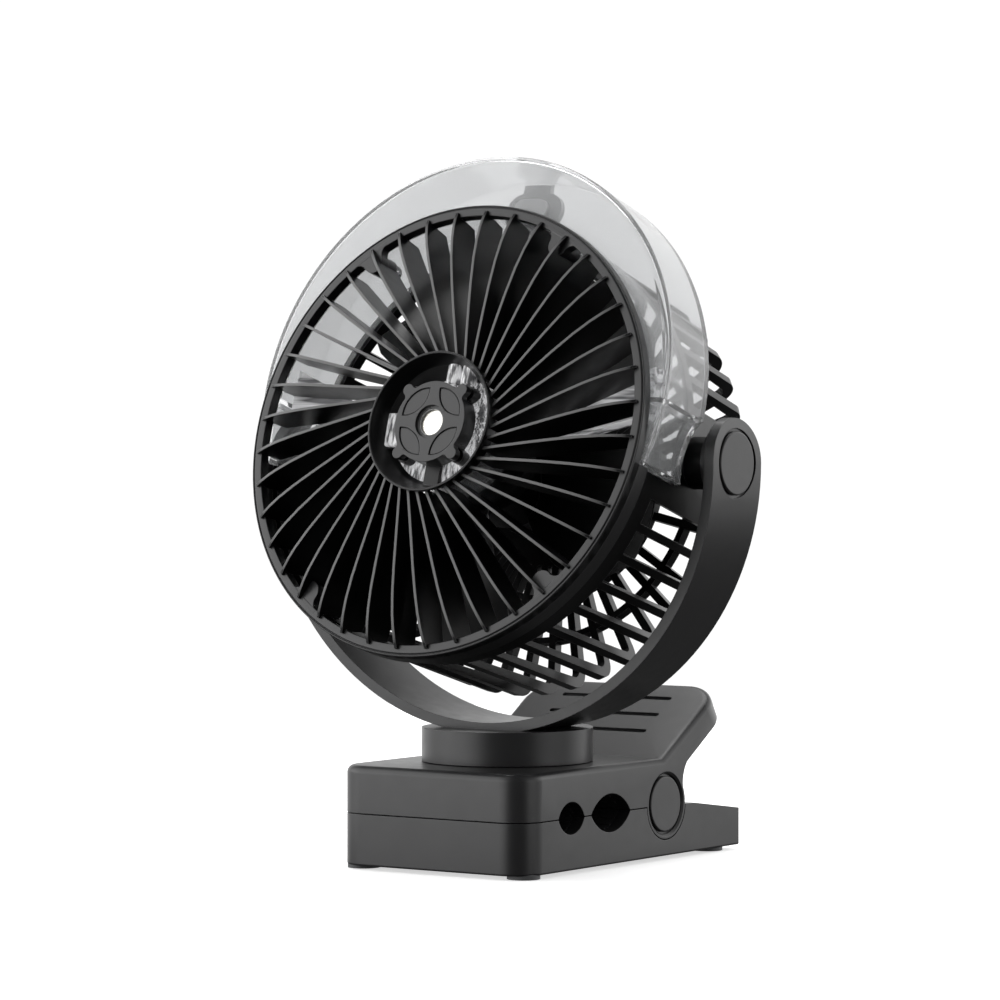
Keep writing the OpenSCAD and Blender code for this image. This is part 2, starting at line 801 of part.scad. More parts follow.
module yoke_screws() {
    color([0.75, 0.75, 0.77]) translate([0, 0, yoke_screw_seat - seat_fit]) yoke_screw_spots()
        screw(yoke_screw_r, yoke_screw_l, yoke_screw_head_r, screw_head_t);
}

module pivot_caps() {
    color([0.2, 0.2, 0.21]) both_sides() translate([cap_seat_x + seat_fit, 0, pivot_z]) rotate([0, 90, 0])
        cap_disc(pivot_cap_r, 1.4);
}

module pivot_screws() {
    color([0.75, 0.75, 0.77]) both_sides() in_head() {
        x_rod(pivot_head_r, pivot_pocket_x + seat_fit, cap_seat_x - slide_gap);
        x_rod(pivot_screw_r, pivot_face - pivot_screw_l, pivot_pocket_x + 0.5);
    }
}

module friction_washers() {
    color([0.5, 0.5, 0.52]) both_sides() in_head() difference() {
        x_rod(pivot_boss_r - slide_gap, pivot_face + seat_fit, boss_face - seat_fit);
        x_rod(tilt_pin_r + slide_gap, pivot_face - 1, boss_face + 1);
    }
}

// Everything on one side of a level in the head's frame
module head_below(y) {
    translate([-far, y - 2 * far, -far]) cube([2 * far, 2 * far, 2 * far]);
}

module head_above(y) {
    translate([-far, y, -far]) cube([2 * far, 2 * far, 2 * far]);
}

// Half section of the housing's shell, radius against depth
module shell_section() {
    back = -house_back;
    difference() {
        union() {
            polygon([[0, band_back - seat_fit], [house_r, band_back - seat_fit],
                [house_rear_r, back + house_corner], [0, back + house_corner]]);
            translate([0, back]) square([house_rear_r - house_corner, house_corner]);
            translate([house_rear_r - house_corner, back + house_corner]) circle(house_corner);
        }
        polygon([[0, far], [duct_r, far], [duct_r, band_back - 3],
            [house_rear_r - slat_depth, back + house_corner], [0, back + house_corner]]);
        translate([0, back + slat_depth]) square([house_rear_r - house_corner, house_corner]);
        translate([house_rear_r - house_corner, back + house_corner]) circle(corner_in);
    }
}

module ring_band(r0, r1, z0, z1) {
    translate([0, 0, z0]) difference() {
        cylinder(r = r1, h = z1 - z0, $fn = 160);
        translate([0, 0, -1]) cylinder(r = r0, h = z1 - z0 + 2, $fn = 160);
    }
}

// What is left solid in the basket
module basket_pattern() {
    reach = house_r + 3;
    for (i = [0:slats - 1]) rotate([0, 0, (i + 0.5) * 360 / slats])
        translate([hub_plate_r - 3, -slat_t / 2, -far]) cube([reach - hub_plate_r + 3, slat_t, 2 * far]);
    translate([0, 0, window_front]) cylinder(r = reach, h = far);
    intersection() {
        ring_band(house_rear_r - tank_ring_w, reach, tank_back - tank_ring - slide_gap,
            tank_back - slide_gap);
        head_above(-tank_low - slide_gap);
    }
    for (r = rear_ring_r)
        ring_band(r - rear_ring_w / 2, r + rear_ring_w / 2, -far, -house_back + house_corner);
    translate([0, 0, -far]) cylinder(r = hub_plate_r, h = far);
    w = reach * tan(pivot_sector);
    translate([0, 0, -house_back + house_corner]) linear_extrude(far)
        for (s = [-1, 1]) polygon([[0, 0], [s * reach, w], [s * reach, -w]]);
}

module rear_housing() {
    color([0.14, 0.14, 0.15]) in_head() difference() {
        union() {
            intersection() {
                rotate_extrude($fn = 160) intersection() {
                    shell_section();
                    translate([0, -far]) square([far, 2 * far]);
                }
                basket_pattern();
                union() {
                    head_below(-tank_low - slide_gap);
                    translate([0, 0, tank_back - slide_gap - far]) cylinder(r = far, h = far);
                    both_sides() x_rod(notch_r - slide_gap, duct_r - 8, far);
                }
            }
            both_sides() x_rod(pivot_boss_r, duct_r - 2, pivot_face);
            both_sides() x_rod(tilt_pin_r, pivot_face - 1, pivot_pocket_x);
            // Socket of the motor
            translate([0, 0, -house_back]) cylinder(r = motor_socket_r, h = socket_depth);
            for (a = lower_bosses()) rotate([0, 0, a]) translate([ring_boss_at, 0, window_front + post_rise])
                cylinder(r = screw_post_r, h = band_back - window_front - post_rise);
        }
        translate([0, 0, -house_back + slat_depth]) cylinder(r = motor_r + seat_fit, h = far);
        translate([0, 0, -far]) cylinder(r = wire_r, h = 2 * far);
        motor_screw_spots() translate([0, 0, -far]) cylinder(r = pilot_r + seat_fit, h = far);
        for (a = lower_bosses()) rotate([0, 0, a]) translate([ring_boss_at, 0, 0])
            cylinder(r = pilot_r + seat_fit, h = far);
        both_sides() x_rod(pivot_screw_r + seat_fit / 2, pivot_face - pivot_screw_l - 1, far);
        cover_screw_spots() translate([0, 0, -far])
            cylinder(r = pilot_r, h = far - house_back + slat_depth - fan_wall / 4);
    }
}

function boss_angle(i) = vane_phase + boss_vanes[i] * 360 / vanes;
function upper_bosses() = [boss_angle(0), boss_angle(1)];
function lower_bosses() = [boss_angle(2), boss_angle(3)];

// Height of the grille's front at a radius
function dome(r) = let (x = (r - vane_in) / (vane_out - vane_in))
    ring_z + dome_edge + (dome_h - dome_edge) * (1 - pow(x, 4));

// Section of a vane, radius against depth
module vane_section() {
    step = (vane_out - vane_in) / dome_steps;
    front = [for (i = [0:dome_steps]) [vane_in + i * step, dome(vane_in + i * step)]];
    lip = [[vane_out, ring_z - 0.5], [ring_in - 0.3, ring_z - 0.5], [ring_in - 0.3, ring_z - ring_t],
        [ring_in - 3, ring_z - vane_depth + 1]];
    inner = ring_in - 6;
    back = [for (i = [dome_steps:-1:0]) let (r = vane_in + i * (inner - vane_in) / dome_steps)
        [r, min(dome(r) - vane_depth, cup_floor)]];
    polygon(concat(front, lip, back));
}

// Plan of one vane as a bowed strip from the ring to the cup
module vane_plan() {
    a = [vane_out, 0];
    b = [vane_in * cos(vane_sweep), -vane_in * sin(vane_sweep)];
    d = b - a;
    n = [d[1], -d[0]] / norm(d);
    mid = [for (i = [0:vane_steps]) let (t = i / vane_steps) a + t * d + 4 * t * (1 - t) * vane_bulge * n];
    polygon(concat([for (p = mid) p + n * vane_t / 2],
        [for (i = [vane_steps:-1:0]) mid[i] - n * vane_t / 2]));
}

module vane_set() {
    intersection() {
        translate([0, 0, ring_z - 2 * vane_depth]) linear_extrude(4 * vane_depth) for (i = [0:vanes - 1])
            rotate(vane_phase + i * 360 / vanes) vane_plan();
        rotate_extrude($fn = 160) vane_section();
    }
}

module ring_body() {
    rotate_extrude($fn = 160) polygon([[ring_in, ring_z - ring_t], [ring_r, ring_z - ring_t],
        [ring_r, ring_z - ring_line], [ring_r - 0.5, ring_z - ring_line / 3],
        [ring_r - 0.9, ring_z - ring_line], [ring_r - 1.3, ring_z], [ring_in, ring_z]]);
    intersection() {
        ring_band(ring_r - band_t, ring_r, band_back, ring_z - 1);
        head_below(-tank_low - slide_gap);
    }
}

// The cup round the nozzle, with its ribs and the seat of the cap
module nozzle_cup() {
    rotate_extrude() polygon([[cup_low_r - cup_wall, cup_floor], [cup_low_r, cup_floor],
        [cup_r, cup_z - cup_lip], [cup_r, cup_z - 0.4], [cup_r - 0.5, cup_z], [cup_r - 1.1, cup_z],
        [cup_r - cup_wall, cup_z - cup_lip]]);
    difference() {
        union() {
            translate([0, 0, cup_floor]) cylinder(r = seat_r, h = seat_top - cup_floor);
            for (a = [45:90:315]) rotate([0, 0, a]) {
                translate([0, -rib_w / 2, cup_floor]) cube([cup_low_r - cup_wall / 2, rib_w, rib_h]);
                translate([lobe_at, 0, cup_floor]) cylinder(r = lobe_r, h = rib_h + 0.8);
            }
            translate([-rib_w * 0.7, -cup_low_r + cup_wall / 2, cup_floor])
                cube([rib_w * 1.4, cup_low_r, rib_h]);
        }
        translate([0, 0, cup_floor - 1]) cylinder(r = seat_r - seat_wall, h = far);
    }
}

// Screw boss behind the ring, with fillets where its plate meets the ring
module ring_boss() {
    intersection() {
        translate([ring_boss_at, 0, band_back + seat_fit])
            cylinder(r = ring_boss_r - seat_fit, h = ring_z - ring_t / 2 - band_back);
        cylinder(r = duct_r - slide_gap, h = far, $fn = 160);
    }
    plate_t = ring_t - 4 * seat_fit;
    translate([ring_boss_at, 0, ring_z - ring_t + 2 * seat_fit]) linear_extrude(plate_t) {
        circle(ring_boss_r);
        translate([0, -0.8 * ring_boss_r]) square([ring_w, 1.6 * ring_boss_r]);
        x = ring_in - ring_boss_at - boss_fillet_r;
        y = sqrt(pow(ring_boss_r + boss_fillet_r, 2) - x * x);
        for (s = [-1, 1]) difference() {
            polygon([[0, 0], [x, s * y], [x + boss_fillet_r + 1, s * y], [x + boss_fillet_r + 1, 0]]);
            translate([x, s * y]) circle(boss_fillet_r + boss_bite);
        }
    }
}

module front_grille() {
    color([0.2, 0.2, 0.21]) in_head() difference() {
        union() {
            ring_body();
            vane_set();
            nozzle_cup();
            for (a = concat(upper_bosses(), lower_bosses())) rotate([0, 0, a]) ring_boss();
        }
        for (a = concat(upper_bosses(), lower_bosses())) rotate([0, 0, a])
            translate([ring_boss_at, 0, band_back - 1]) cylinder(r = pilot_r, h = grille_screw_l + 2);
    }
}

module grille_screws() {
    color([0.7, 0.7, 0.72]) in_head() {
        for (a = lower_bosses()) rotate([0, 0, a]) screw_up(window_front);
        for (a = upper_bosses()) rotate([0, 0, a]) screw_up(band_back - post_h);
    }
}

// A screw from behind, whose head lies against depth z
module screw_up(z) {
    translate([ring_boss_at, 0, z - seat_fit])
        screw(case_screw_r, band_back + grille_screw_l - z, case_head_r, screw_head_t);
}

// Solid of the tank between its outer wall and the air duct, drawn in by a wall
module tank_shape(inset) {
    intersection() {
        difference() {
            translate([0, tank_rise, 0]) rotate_extrude($fn = 160)
                polygon([[0, tank_back + inset], [tank_r - inset - tank_draft, tank_back + inset],
                    [tank_r - inset, tank_front - tank_edge],
                    [tank_r - inset - tank_lip / 4, tank_front - tank_lip],
                    [tank_r - tank_edge, tank_front - inset], [0, tank_front - inset]]);
            cylinder(r = duct_r + inset, h = far, $fn = 160);
            x_rod(notch_r + inset, -far, far);
        }
        head_above(-tank_low + inset);
    }
}

module tank_arm() {
    inner = hub_chamber_r - tank_wall;
    outer = duct_r + tank_wall / 2;
    translate([0, 0, arm_back]) linear_extrude(arm_front - arm_back)
        polygon([[inner, arm_root[0]], [outer, -tank_low], [outer, arm_top], [inner, arm_root[1]]]);
}

module water_tank() {
    color([0.85, 0.88, 0.9, 0.4]) in_head() difference() {
        union() {
            difference() {
                tank_shape(0);
                tank_shape(tank_wall);
            }
            both_sides() tank_arm();
            translate([0, 0, chamber_back]) cylinder(r = hub_chamber_r, h = chamber_front - chamber_back);
            translate([0, 0, chamber_back]) cylinder(r = spout_r, h = spout_top - chamber_back);
            for (s = [-1, 1]) translate([s * tube_x, hub_chamber_r - 4, chamber_front - tube_r - 1])
                rotate([-90, 0, 0]) cylinder(r = tube_r, h = tube_l);
            for (a = upper_bosses()) rotate([0, 0, a]) translate([ring_boss_at, 0, band_back - post_h]) {
                cylinder(r = screw_post_r, h = post_h);
                translate([0, -post_web / 2, 0])
                    cube([duct_r + tank_wall / 2 - ring_boss_at, post_web, post_h]);
            }
        }
        translate([0, 0, chamber_back + tank_wall])
            cylinder(r = hub_chamber_r - tank_wall, h = chamber_front - chamber_back - 2 * tank_wall);
        translate([0, 0, chamber_back + tank_wall]) cylinder(r = spout_r - tank_wall, h = far);
        translate([0, plug_y, tank_back - 1]) linear_extrude(tank_wall + 2)
            slot((plug_w - plug_h) / 2 * plug_stem, plug_h / 2 * plug_stem);
        for (a = upper_bosses()) rotate([0, 0, a]) translate([ring_boss_at, 0, 0])
            cylinder(r = pilot_r + seat_fit, h = far);
    }
}

module filler_plug() {
    color([0.62, 0.63, 0.64]) in_head() translate([0, plug_y, 0]) {
        translate([0, 0, tank_back - seat_fit - plug_t]) linear_extrude(plug_t) {
            slot((plug_w - plug_h) / 2, plug_h / 2);
            translate([-tab_w / 2, 0]) square([tab_w, plug_h / 2 + tab_reach]);
        }
        translate([0, 0, tank_back - 1]) linear_extrude(tank_wall + 2.2)
            slot((plug_w - plug_h) / 2 * plug_stem, plug_h / 2 * plug_stem - slide_gap);
    }
}

module cap_outline() {
    circle(cap_r);
    for (a = [45:90:315]) rotate(a) {
        translate([lobe_at, 0]) circle(lobe_r);
        translate([0, -lobe_r]) square([lobe_at, 2 * lobe_r]);
    }
}

// The outline of a leaf, as the overlap of two discs
module leaf(grow) {
    intersection_for (s = [-1, 1]) translate([s * leaf_off, 0]) circle(leaf_r + grow);
}

module nozzle_cap() {
    color([0.22, 0.22, 0.23]) in_head() difference() {
        union() {
            translate([0, 0, cap_front - cap_t]) linear_extrude(cap_t) cap_outline();
            translate([0, 0, cap_skirt_low])
                cylinder(r = cap_r - slide_gap, h = cap_front - cap_t - cap_skirt_low);
        }
        translate([0, 0, cap_skirt_low - 1])
            cylinder(r = seat_r + run_fit, h = cap_front - cap_t - cap_skirt_low + 1);
        cylinder(r = mist_hole_r, h = far);
        translate([0, 0, cap_front - 0.6 * cap_t]) cylinder(r = mist_hole_r + 1.4, h = cap_t);
        for (a = [45:90:315]) rotate([0, 0, a]) translate([leaf_at, 0, cap_front - leaf_deep])
            linear_extrude(1) difference() {
                leaf(0);
                leaf(-leaf_line);
            }
    }
}

module disc_seal() {
    color([0.8, 0.8, 0.8]) in_head() translate([0, 0, spout_top + disc_t + seat_fit]) difference() {
        cylinder(r = disc_r + seal_rim, h = seal_t);
        translate([0, 0, -1]) cylinder(r = mist_hole_r, h = 5);
    }
}

module atomiser_disc() {
    color([0.95, 0.95, 0.95]) in_head() translate([0, 0, spout_top + seat_fit / 2])
        cylinder(r = disc_r, h = disc_t);
}

module wick() {
    color([0.95, 0.94, 0.9]) in_head() translate([0, 0, chamber_back + tank_wall])
        cylinder(r = wick_r, h = spout_top - chamber_back - tank_wall - seat_fit);
}

module motor_can() {
    color([0.6, 0.6, 0.62]) in_head() difference() {
        translate([0, 0, motor_back]) cylinder(r = motor_r, h = motor_front - motor_back);
        translate([0, 0, motor_back + motor_end])
            cylinder(r = motor_r - motor_wall, h = motor_front - motor_back - 2 * motor_end);
        translate([0, 0, -far]) cylinder(r = bearing_r + run_fit, h = 2 * far);
        motor_screw_spots() translate([0, 0, -far])
            cylinder(r = pilot_r, h = far + motor_back + motor_screw_l + 0.5);
    }
}

module motor_bearings() {
    color([0.8, 0.65, 0.35]) in_head()
        for (z = [motor_back + 0.5, motor_front - bearing_l - 0.5]) translate([0, 0, z]) difference() {
            cylinder(r = bearing_r, h = bearing_l);
            translate([0, 0, -1]) cylinder(r = shaft_r + run_fit, h = bearing_l + 2);
        }
}

module motor_screw_spots() {
    for (a = [30:120:270]) rotate([0, 0, a]) translate([motor_screw_at, 0, 0]) children();
}

module motor_screws() {
    color([0.75, 0.75, 0.77]) in_head() motor_screw_spots() translate([0, 0, pod_front])
        screw(case_screw_r, motor_back - pod_front + motor_screw_l, case_head_r, screw_head_t);
}

module motor_shaft() {
    color([0.8, 0.8, 0.82]) in_head() translate([0, 0, motor_back + slide_gap])
        cylinder(r = shaft_r, h = shaft_front - motor_back - slide_gap);
}

// A point of a blade: u runs from hub to tip, v across the chord, face is -1 or 1
function blade_point(u, v, face) =
    let (r = hub_r - 1.2 + u * (blade_r - hub_r + 1.2),
        chord = blade_chord - blade_taper * u - blade_tip * pow(u, 6),
        a = chord * (v - 0.5) + blade_sweep * u * u,
        rise = blade_rise - blade_rise_taper * u,
        z = blade_mid + rise * (v - 0.5) - blade_camber * (4 * v * (1 - v)) * (1 - 0.3 * u),
        t = blade_t * (0.35 + 2.6 * v * (1 - v)) * (1 - 0.35 * u))
    [r * cos(a), r * sin(a), z + face * t / 2];

module blade() {
    nu = blade_rows;
    nv = blade_cols;
    n = (nu + 1) * (nv + 1);
    pts = [for (f = [-1, 1], i = [0:nu], j = [0:nv]) blade_point(i / nu, j / nv, f)];
    low = [for (i = [0:nu - 1], j = [0:nv - 1], k = [0, 1]) let (p = i * (nv + 1) + j)
        k == 0 ? [p, p + nv + 1, p + nv + 2] : [p, p + nv + 2, p + 1]];
    high = [for (t = low) [t[0] + n, t[2] + n, t[1] + n]];
    edge = concat([for (j = [0:nv]) j], [for (i = [1:nu]) i * (nv + 1) + nv],
        [for (j = [nv - 1:-1:0]) nu * (nv + 1) + j], [for (i = [nu - 1:-1:1]) i * (nv + 1)]);
    m = len(edge);
    rim = [for (i = [0:m - 1], k = [0, 1]) let (p = edge[i], q = edge[(i + 1) % m])
        k == 0 ? [p, q, q + n] : [p, q + n, p + n]];
    polyhedron(pts, concat(low, high, rim));
}

module impeller() {
    color([0.12, 0.12, 0.13]) in_head() difference() {
        union() {
            difference() {
                rotate_extrude() {
                    translate([0, fan_back]) square([hub_r, fan_front - fan_back - fan_edge_r]);
                    translate([0, fan_back]) square([hub_r - fan_edge_r, fan_front - fan_back]);
                    translate([hub_r - fan_edge_r, fan_front - fan_edge_r]) circle(fan_edge_r);
                }
                translate([0, 0, fan_back - 1])
                    cylinder(r = hub_r - fan_wall, h = fan_front - fan_wall - fan_back + 1);
            }
            translate([0, 0, fan_back]) cylinder(r = fan_boss_r, h = fan_front - fan_back - fan_wall / 2);
            for (i = [0:blades - 1]) rotate([0, 0, blade_phase + i * 360 / blades]) blade();
        }
        translate([0, 0, fan_back - 1]) cylinder(r = shaft_r, h = shaft_front - fan_back + 1 + slide_gap);
    }
}

module control_board() {
    color([0.1, 0.4, 0.2]) in_head() difference() {
        translate([0, 0, board_back]) cylinder(r = pod_r - pod_wall - slide_gap, h = board_t);
        cover_screw_spots() translate([0, 0, -far]) cylinder(r = cover_post_r + slide_gap, h = far);
    }
}

module cover_screw_spots() {
    for (a = [210, 330]) rotate([0, 0, a]) translate([cover_screw_at, 0, 0]) children();
}

module rear_cover() {
    color([0.17, 0.17, 0.18]) in_head() difference() {
        union() {
            difference() {
                rotate_extrude() {
                    translate([0, pod_back + pod_edge]) square([pod_r, pod_depth - pod_edge]);
                    translate([0, pod_back]) square([pod_r - pod_edge, pod_depth]);
                    translate([pod_r - pod_edge, pod_back + pod_edge]) circle(pod_edge);
                }
                translate([0, 0, pod_back + pod_wall]) cylinder(r = pod_r - pod_wall, h = pod_depth);
            }
            cover_screw_spots() translate([0, 0, pod_back + 1]) cylinder(r = cover_post_r, h = pod_depth - 1);
        }
        for (s = [-1, 1]) translate([s * button_x, 0, pod_back - 1])
            cylinder(r = button_r + 2 * seat_fit, h = pod_wall + 2);
        translate([0, light_y, pod_back - 1]) cylinder(r = light_r + seat_fit, h = pod_wall + 2);
        cover_screw_spots() translate([0, 0, pod_back - 1]) {
            cylinder(r = pilot_r + seat_fit, h = far);
            cylinder(r = case_head_r + seat_fit, h = cover_sink + 1);
        }
    }
}

module cover_screws() {
    color([0.7, 0.7, 0.72]) in_head() cover_screw_spots() translate([0, 0, pod_back + cover_sink - seat_fit])
        screw(case_screw_r, pod_depth - cover_sink + cover_screw_reach, case_head_r, screw_head_t);
}

module button(x) {
    translate([x, 0, pod_back]) {
        rotate_extrude() polygon([[0, -button_proud], [button_r - button_edge, -button_proud],
            [button_r, -button_proud + button_edge], [button_r, pod_wall + button_flange],
            [0, pod_wall + button_flange]]);
        translate([0, 0, pod_wall + seat_fit]) cylinder(r = button_r + button_rim, h = button_flange);
    }
}

module fan_button() {
    color([0.25, 0.25, 0.26]) in_head() button(button_x);
}

module mist_button() {
    color([0.25, 0.25, 0.26]) in_head() button(-button_x);
}

module status_light() {
    color([0.5, 0.8, 0.9]) in_head() translate([0, light_y, pod_back]) {
        cylinder(r = light_r, h = pod_wall + button_flange);
        translate([0, 0, pod_wall + seat_fit]) cylinder(r = light_r + button_rim, h = button_flange);
    }
}

lower_jaw();
bottom_cover();
bottom_screws();
feet();
battery();
charge_board();
usb_port();
lower_pad();
hinge_pin();
torsion_springs();
upper_jaw();
upper_cover();
upper_pad();
hinge_caps();
swivel_washer();
swivel_screws();
neck();
yoke();
yoke_screws();
pivot_caps();
friction_washers();
pivot_screws();
rear_housing();
front_grille();
grille_screws();
water_tank();
filler_plug();
nozzle_cap();
disc_seal();
atomiser_disc();
wick();
motor_can();
motor_bearings();
motor_screws();
motor_shaft();
impeller();
control_board();
rear_cover();
cover_screws();
fan_button();
mist_button();
status_light();
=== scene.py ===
"""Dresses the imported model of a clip-on misting fan and stands it in a plain white studio."""

import logging
import math
from collections.abc import Iterator, Sequence
from contextlib import contextmanager
from dataclasses import dataclass, replace
from enum import Enum
from functools import cache
from typing import Protocol

import bpy
from mathutils import Matrix, Vector


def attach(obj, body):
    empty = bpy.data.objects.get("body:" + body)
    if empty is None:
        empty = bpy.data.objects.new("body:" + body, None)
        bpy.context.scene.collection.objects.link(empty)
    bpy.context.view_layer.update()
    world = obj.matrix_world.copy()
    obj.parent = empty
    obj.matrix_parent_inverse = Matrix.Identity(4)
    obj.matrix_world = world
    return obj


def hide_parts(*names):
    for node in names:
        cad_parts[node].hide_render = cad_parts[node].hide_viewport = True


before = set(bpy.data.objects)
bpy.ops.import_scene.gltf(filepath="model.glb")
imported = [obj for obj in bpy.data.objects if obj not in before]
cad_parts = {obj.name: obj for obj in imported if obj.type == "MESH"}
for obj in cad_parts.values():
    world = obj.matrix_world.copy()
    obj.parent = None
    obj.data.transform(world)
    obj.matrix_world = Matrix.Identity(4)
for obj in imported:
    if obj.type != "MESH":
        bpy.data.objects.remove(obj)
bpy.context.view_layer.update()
LOG = logging.getLogger("misting_fan")
MM = 0.001
Pair = tuple[float, float]
Triple = tuple[float, float, float]
Piece = bpy.types.Object
Socket = bpy.types.NodeSocket
Inputs = dict[str | int, object]

# The head's own frame stands on the tilt axis, at a height in millimetres. Its Z axis is the
# way that the fan blows, which leans from upright by some degrees.
TILT_AXIS = 155.2
LEAN = 73.1
HEAD = Matrix.Translation((0, 0, TILT_AXIS * MM)) @ Matrix.Rotation(math.radians(LEAN), 4, "X")
BLOW = HEAD.to_3x3() @ Vector((0, 0, 1))

# Where the grille's screw bosses stand: their radius in millimetres, and degrees round the head.
BOSS_AT = 81.4
BOSSES = (62.0, 125.0, 233.0, 314.0)

# Degrees round the nozzle of its four pillars, and of the cap's ears and leaves.
QUARTERS = (45.0, 135.0, 225.0, 315.0)

# How far cutters and roots go past a face, and how far joined shapes lap, in millimetres.
PAST = 1.0
LAP = 0.1

# Edges sharper than this are square ones, in degrees.
SQUARE = 60.0


# Finishes


@dataclass(frozen=True)
class Speckle:
    """Noise in the object's own space: a blotch's width in millimetres, and its octaves."""

    size: float
    detail: float = 2.0


class Graph:
    """A node tree, with short calls that add and join its nodes."""

    edge_span: Pair = (0.75, 0.99)
    facing_span: Pair = (0.9, 0.96)

    def __init__(self, owner: bpy.types.Material | bpy.types.World) -> None:
        """Starts an empty tree.

        Args:
            owner: The new material or world that the tree belongs to.
        """
        owner.use_nodes = True
        self.owner = owner
        self.tree = owner.node_tree
        self.tree.nodes.clear()
        self.spaces = self.node("ShaderNodeTexCoord").outputs

    def node(self, kind: str, **settings: object) -> bpy.types.Node:
        """Adds a node.

        Args:
            kind: Blender's name for the kind of node.
            settings: Properties to set on it.

        Returns:
            The new node.
        """
        made = self.tree.nodes.new(kind)
        for key, value in settings.items():
            setattr(made, key, value)
        return made

    def join(self, source: object, target: Socket) -> None:
        """Links an output to an input, or sets the input to a plain value.

        Args:
            source: The output, value or colour.
            target: The input.
        """
        if isinstance(source, Socket):
            self.tree.links.new(source, target)
        elif target.type == "RGBA":
            target.default_value = (*source, 1.0)
        else:
            target.default_value = source

    def fed(self, kind: str, output: str, inputs: Inputs, **settings: object) -> Socket:
        """Adds a node and joins its inputs.

        Args:
            kind: Blender's name for the kind of node.
            output: The name of the output that is wanted.
            inputs: What each input gets, by its name or place.
            settings: Properties to set on the node.

        Returns:
            The output.
        """
        made = self.node(kind, **settings)
        for key, source in inputs.items():
            self.join(source, made.inputs[key])
        return made.outputs[output]

    def noise(self, speckle: Speckle, stretch: Triple | None = None) -> Socket:
        """Adds noise in the object's own space.

        Args:
            speckle: Its size and octaves.
            stretch: How fast it changes along X, Y and Z, if not evenly.

        Returns:
            The noise's value, about 0.5 on average.
        """
        where = self.spaces["Object"]
        if stretch:
            where = self.fed("ShaderNodeMapping", "Vector", {"Vector": where, "Scale": stretch})
        scale = 1.0 / (speckle.size * MM)
        inputs = {"Vector": where, "Scale": scale, "Detail": speckle.detail}
        return self.fed("ShaderNodeTexNoise", "Fac", inputs)

    def spread(
        self, source: Socket, low: float = 0.0, high: float = 1.0, span: Pair = (0.3, 0.7)
    ) -> Socket:
        """Maps a value from one span to another.

        Args:
            source: The value.
            low: What the span's start becomes.
            high: What the span's end becomes.
            span: The start and end in the source.

        Returns:
            The mapped value.
        """
        names = ("Value", "From Min", "From Max", "To Min", "To Max")
        inputs = dict(zip(names, (source, *span, low, high)))
        return self.fed("ShaderNodeMapRange", "Result", inputs)

    def blend(self, share: Socket, first: object, second: object) -> Socket:
        """Mixes two colours.

        Args:
            share: How much of the second.
            first: A colour, or a socket that gives one.
            second: The same.

        Returns:
            The mixed colour.
        """
        made = self.node("ShaderNodeMix", data_type="RGBA")
        self.join(share, made.inputs["Factor"])
        for key, value in (("A", first), ("B", second)):
            self.join(value, next(s for s in made.inputs if s.name == key and s.type == "RGBA"))
        return next(s for s in made.outputs if s.type == "RGBA")

    def maths(self, operation: str, *sources: object, kind: str = "ShaderNodeMath") -> Socket:
        """Adds a calculation and gives its result."""
        return self.fed(kind, "Value", dict(enumerate(sources)), operation=operation)

    def likeness(self, first: object, second: object) -> Socket:
        """Gives how alike two directions are, from -1 to 1."""
        return self.maths("DOT_PRODUCT", first, second, kind="ShaderNodeVectorMath")

    def curve(self, source: Socket, pairs: Sequence[Pair]) -> Socket:
        """Adds a smooth curve.

        Args:
            source: The value that it reads.
            pairs: What it reads and gives, in rising order.

        Returns:
            What it gives.
        """
        top = max(value for _, value in pairs)
        low, high = pairs[0][0], pairs[-1][0]
        bend = self.node("ShaderNodeFloatCurve")
        points = bend.mapping.curves[0].points
        while len(points) < len(pairs):
            points.new(0.5, 0.5)
        for point, (at, value) in zip(points, pairs):
            point.location = ((at - low) / (high - low), value / top)
            point.handle_type = "AUTO_CLAMPED"
        bend.mapping.update()
        self.join(self.spread(source, 0.0, 1.0, (low, high)), bend.inputs["Value"])
        return self.spread(bend.outputs["Value"], 0.0, top, (0.0, 1.0))

    def rounded(self, radius: float) -> Socket:
        """Gives a normal that softens sharp edges, by a radius in millimetres."""
        return self.fed("ShaderNodeBevel", "Normal", {"Radius": radius * MM}, samples=4)

    def edges(self, radius: float) -> Socket:
        """Gives 1 within a radius in millimetres of an edge, and 0 on open faces."""
        true = self.node("ShaderNodeNewGeometry").outputs["Normal"]
        return self.spread(self.likeness(self.rounded(radius), true), 1.0, 0.0, self.edge_span)

    def facing(self, way: Vector) -> Socket:
        """Gives 1 on faces that look one way in the object's own space, and 0 on others."""
        return self.spread(self.likeness(self.spaces["Normal"], way), span=self.facing_span)

    def relief(self, height: Socket, depth: float, normal: Socket | None = None) -> Socket:
        """Turns a height into a normal.

        Args:
            height: The height, from 0 to 1.
            depth: What 1 stands for, in millimetres.
            normal: The normal that it starts from.

        Returns:
            The bumped normal.
        """
        inputs: Inputs = {"Distance": depth * MM, "Height": height}
        if normal is not None:
            inputs["Normal"] = normal
        return self.fed("ShaderNodeBump", "Normal", inputs)

    def finish(self, **sockets: object) -> bpy.types.Material:
        """Adds the surface shader and the output.

        Args:
            sockets: Values or outputs for the shader's inputs, with _ for spaces.

        Returns:
            The finished material.
        """
        inputs = {key.replace("_", " "): value for key, value in sockets.items()}
        shader = self.fed("ShaderNodeBsdfPrincipled", "BSDF", inputs)
        self.join(shader, self.node("ShaderNodeOutputMaterial").inputs["Surface"])
        return self.owner


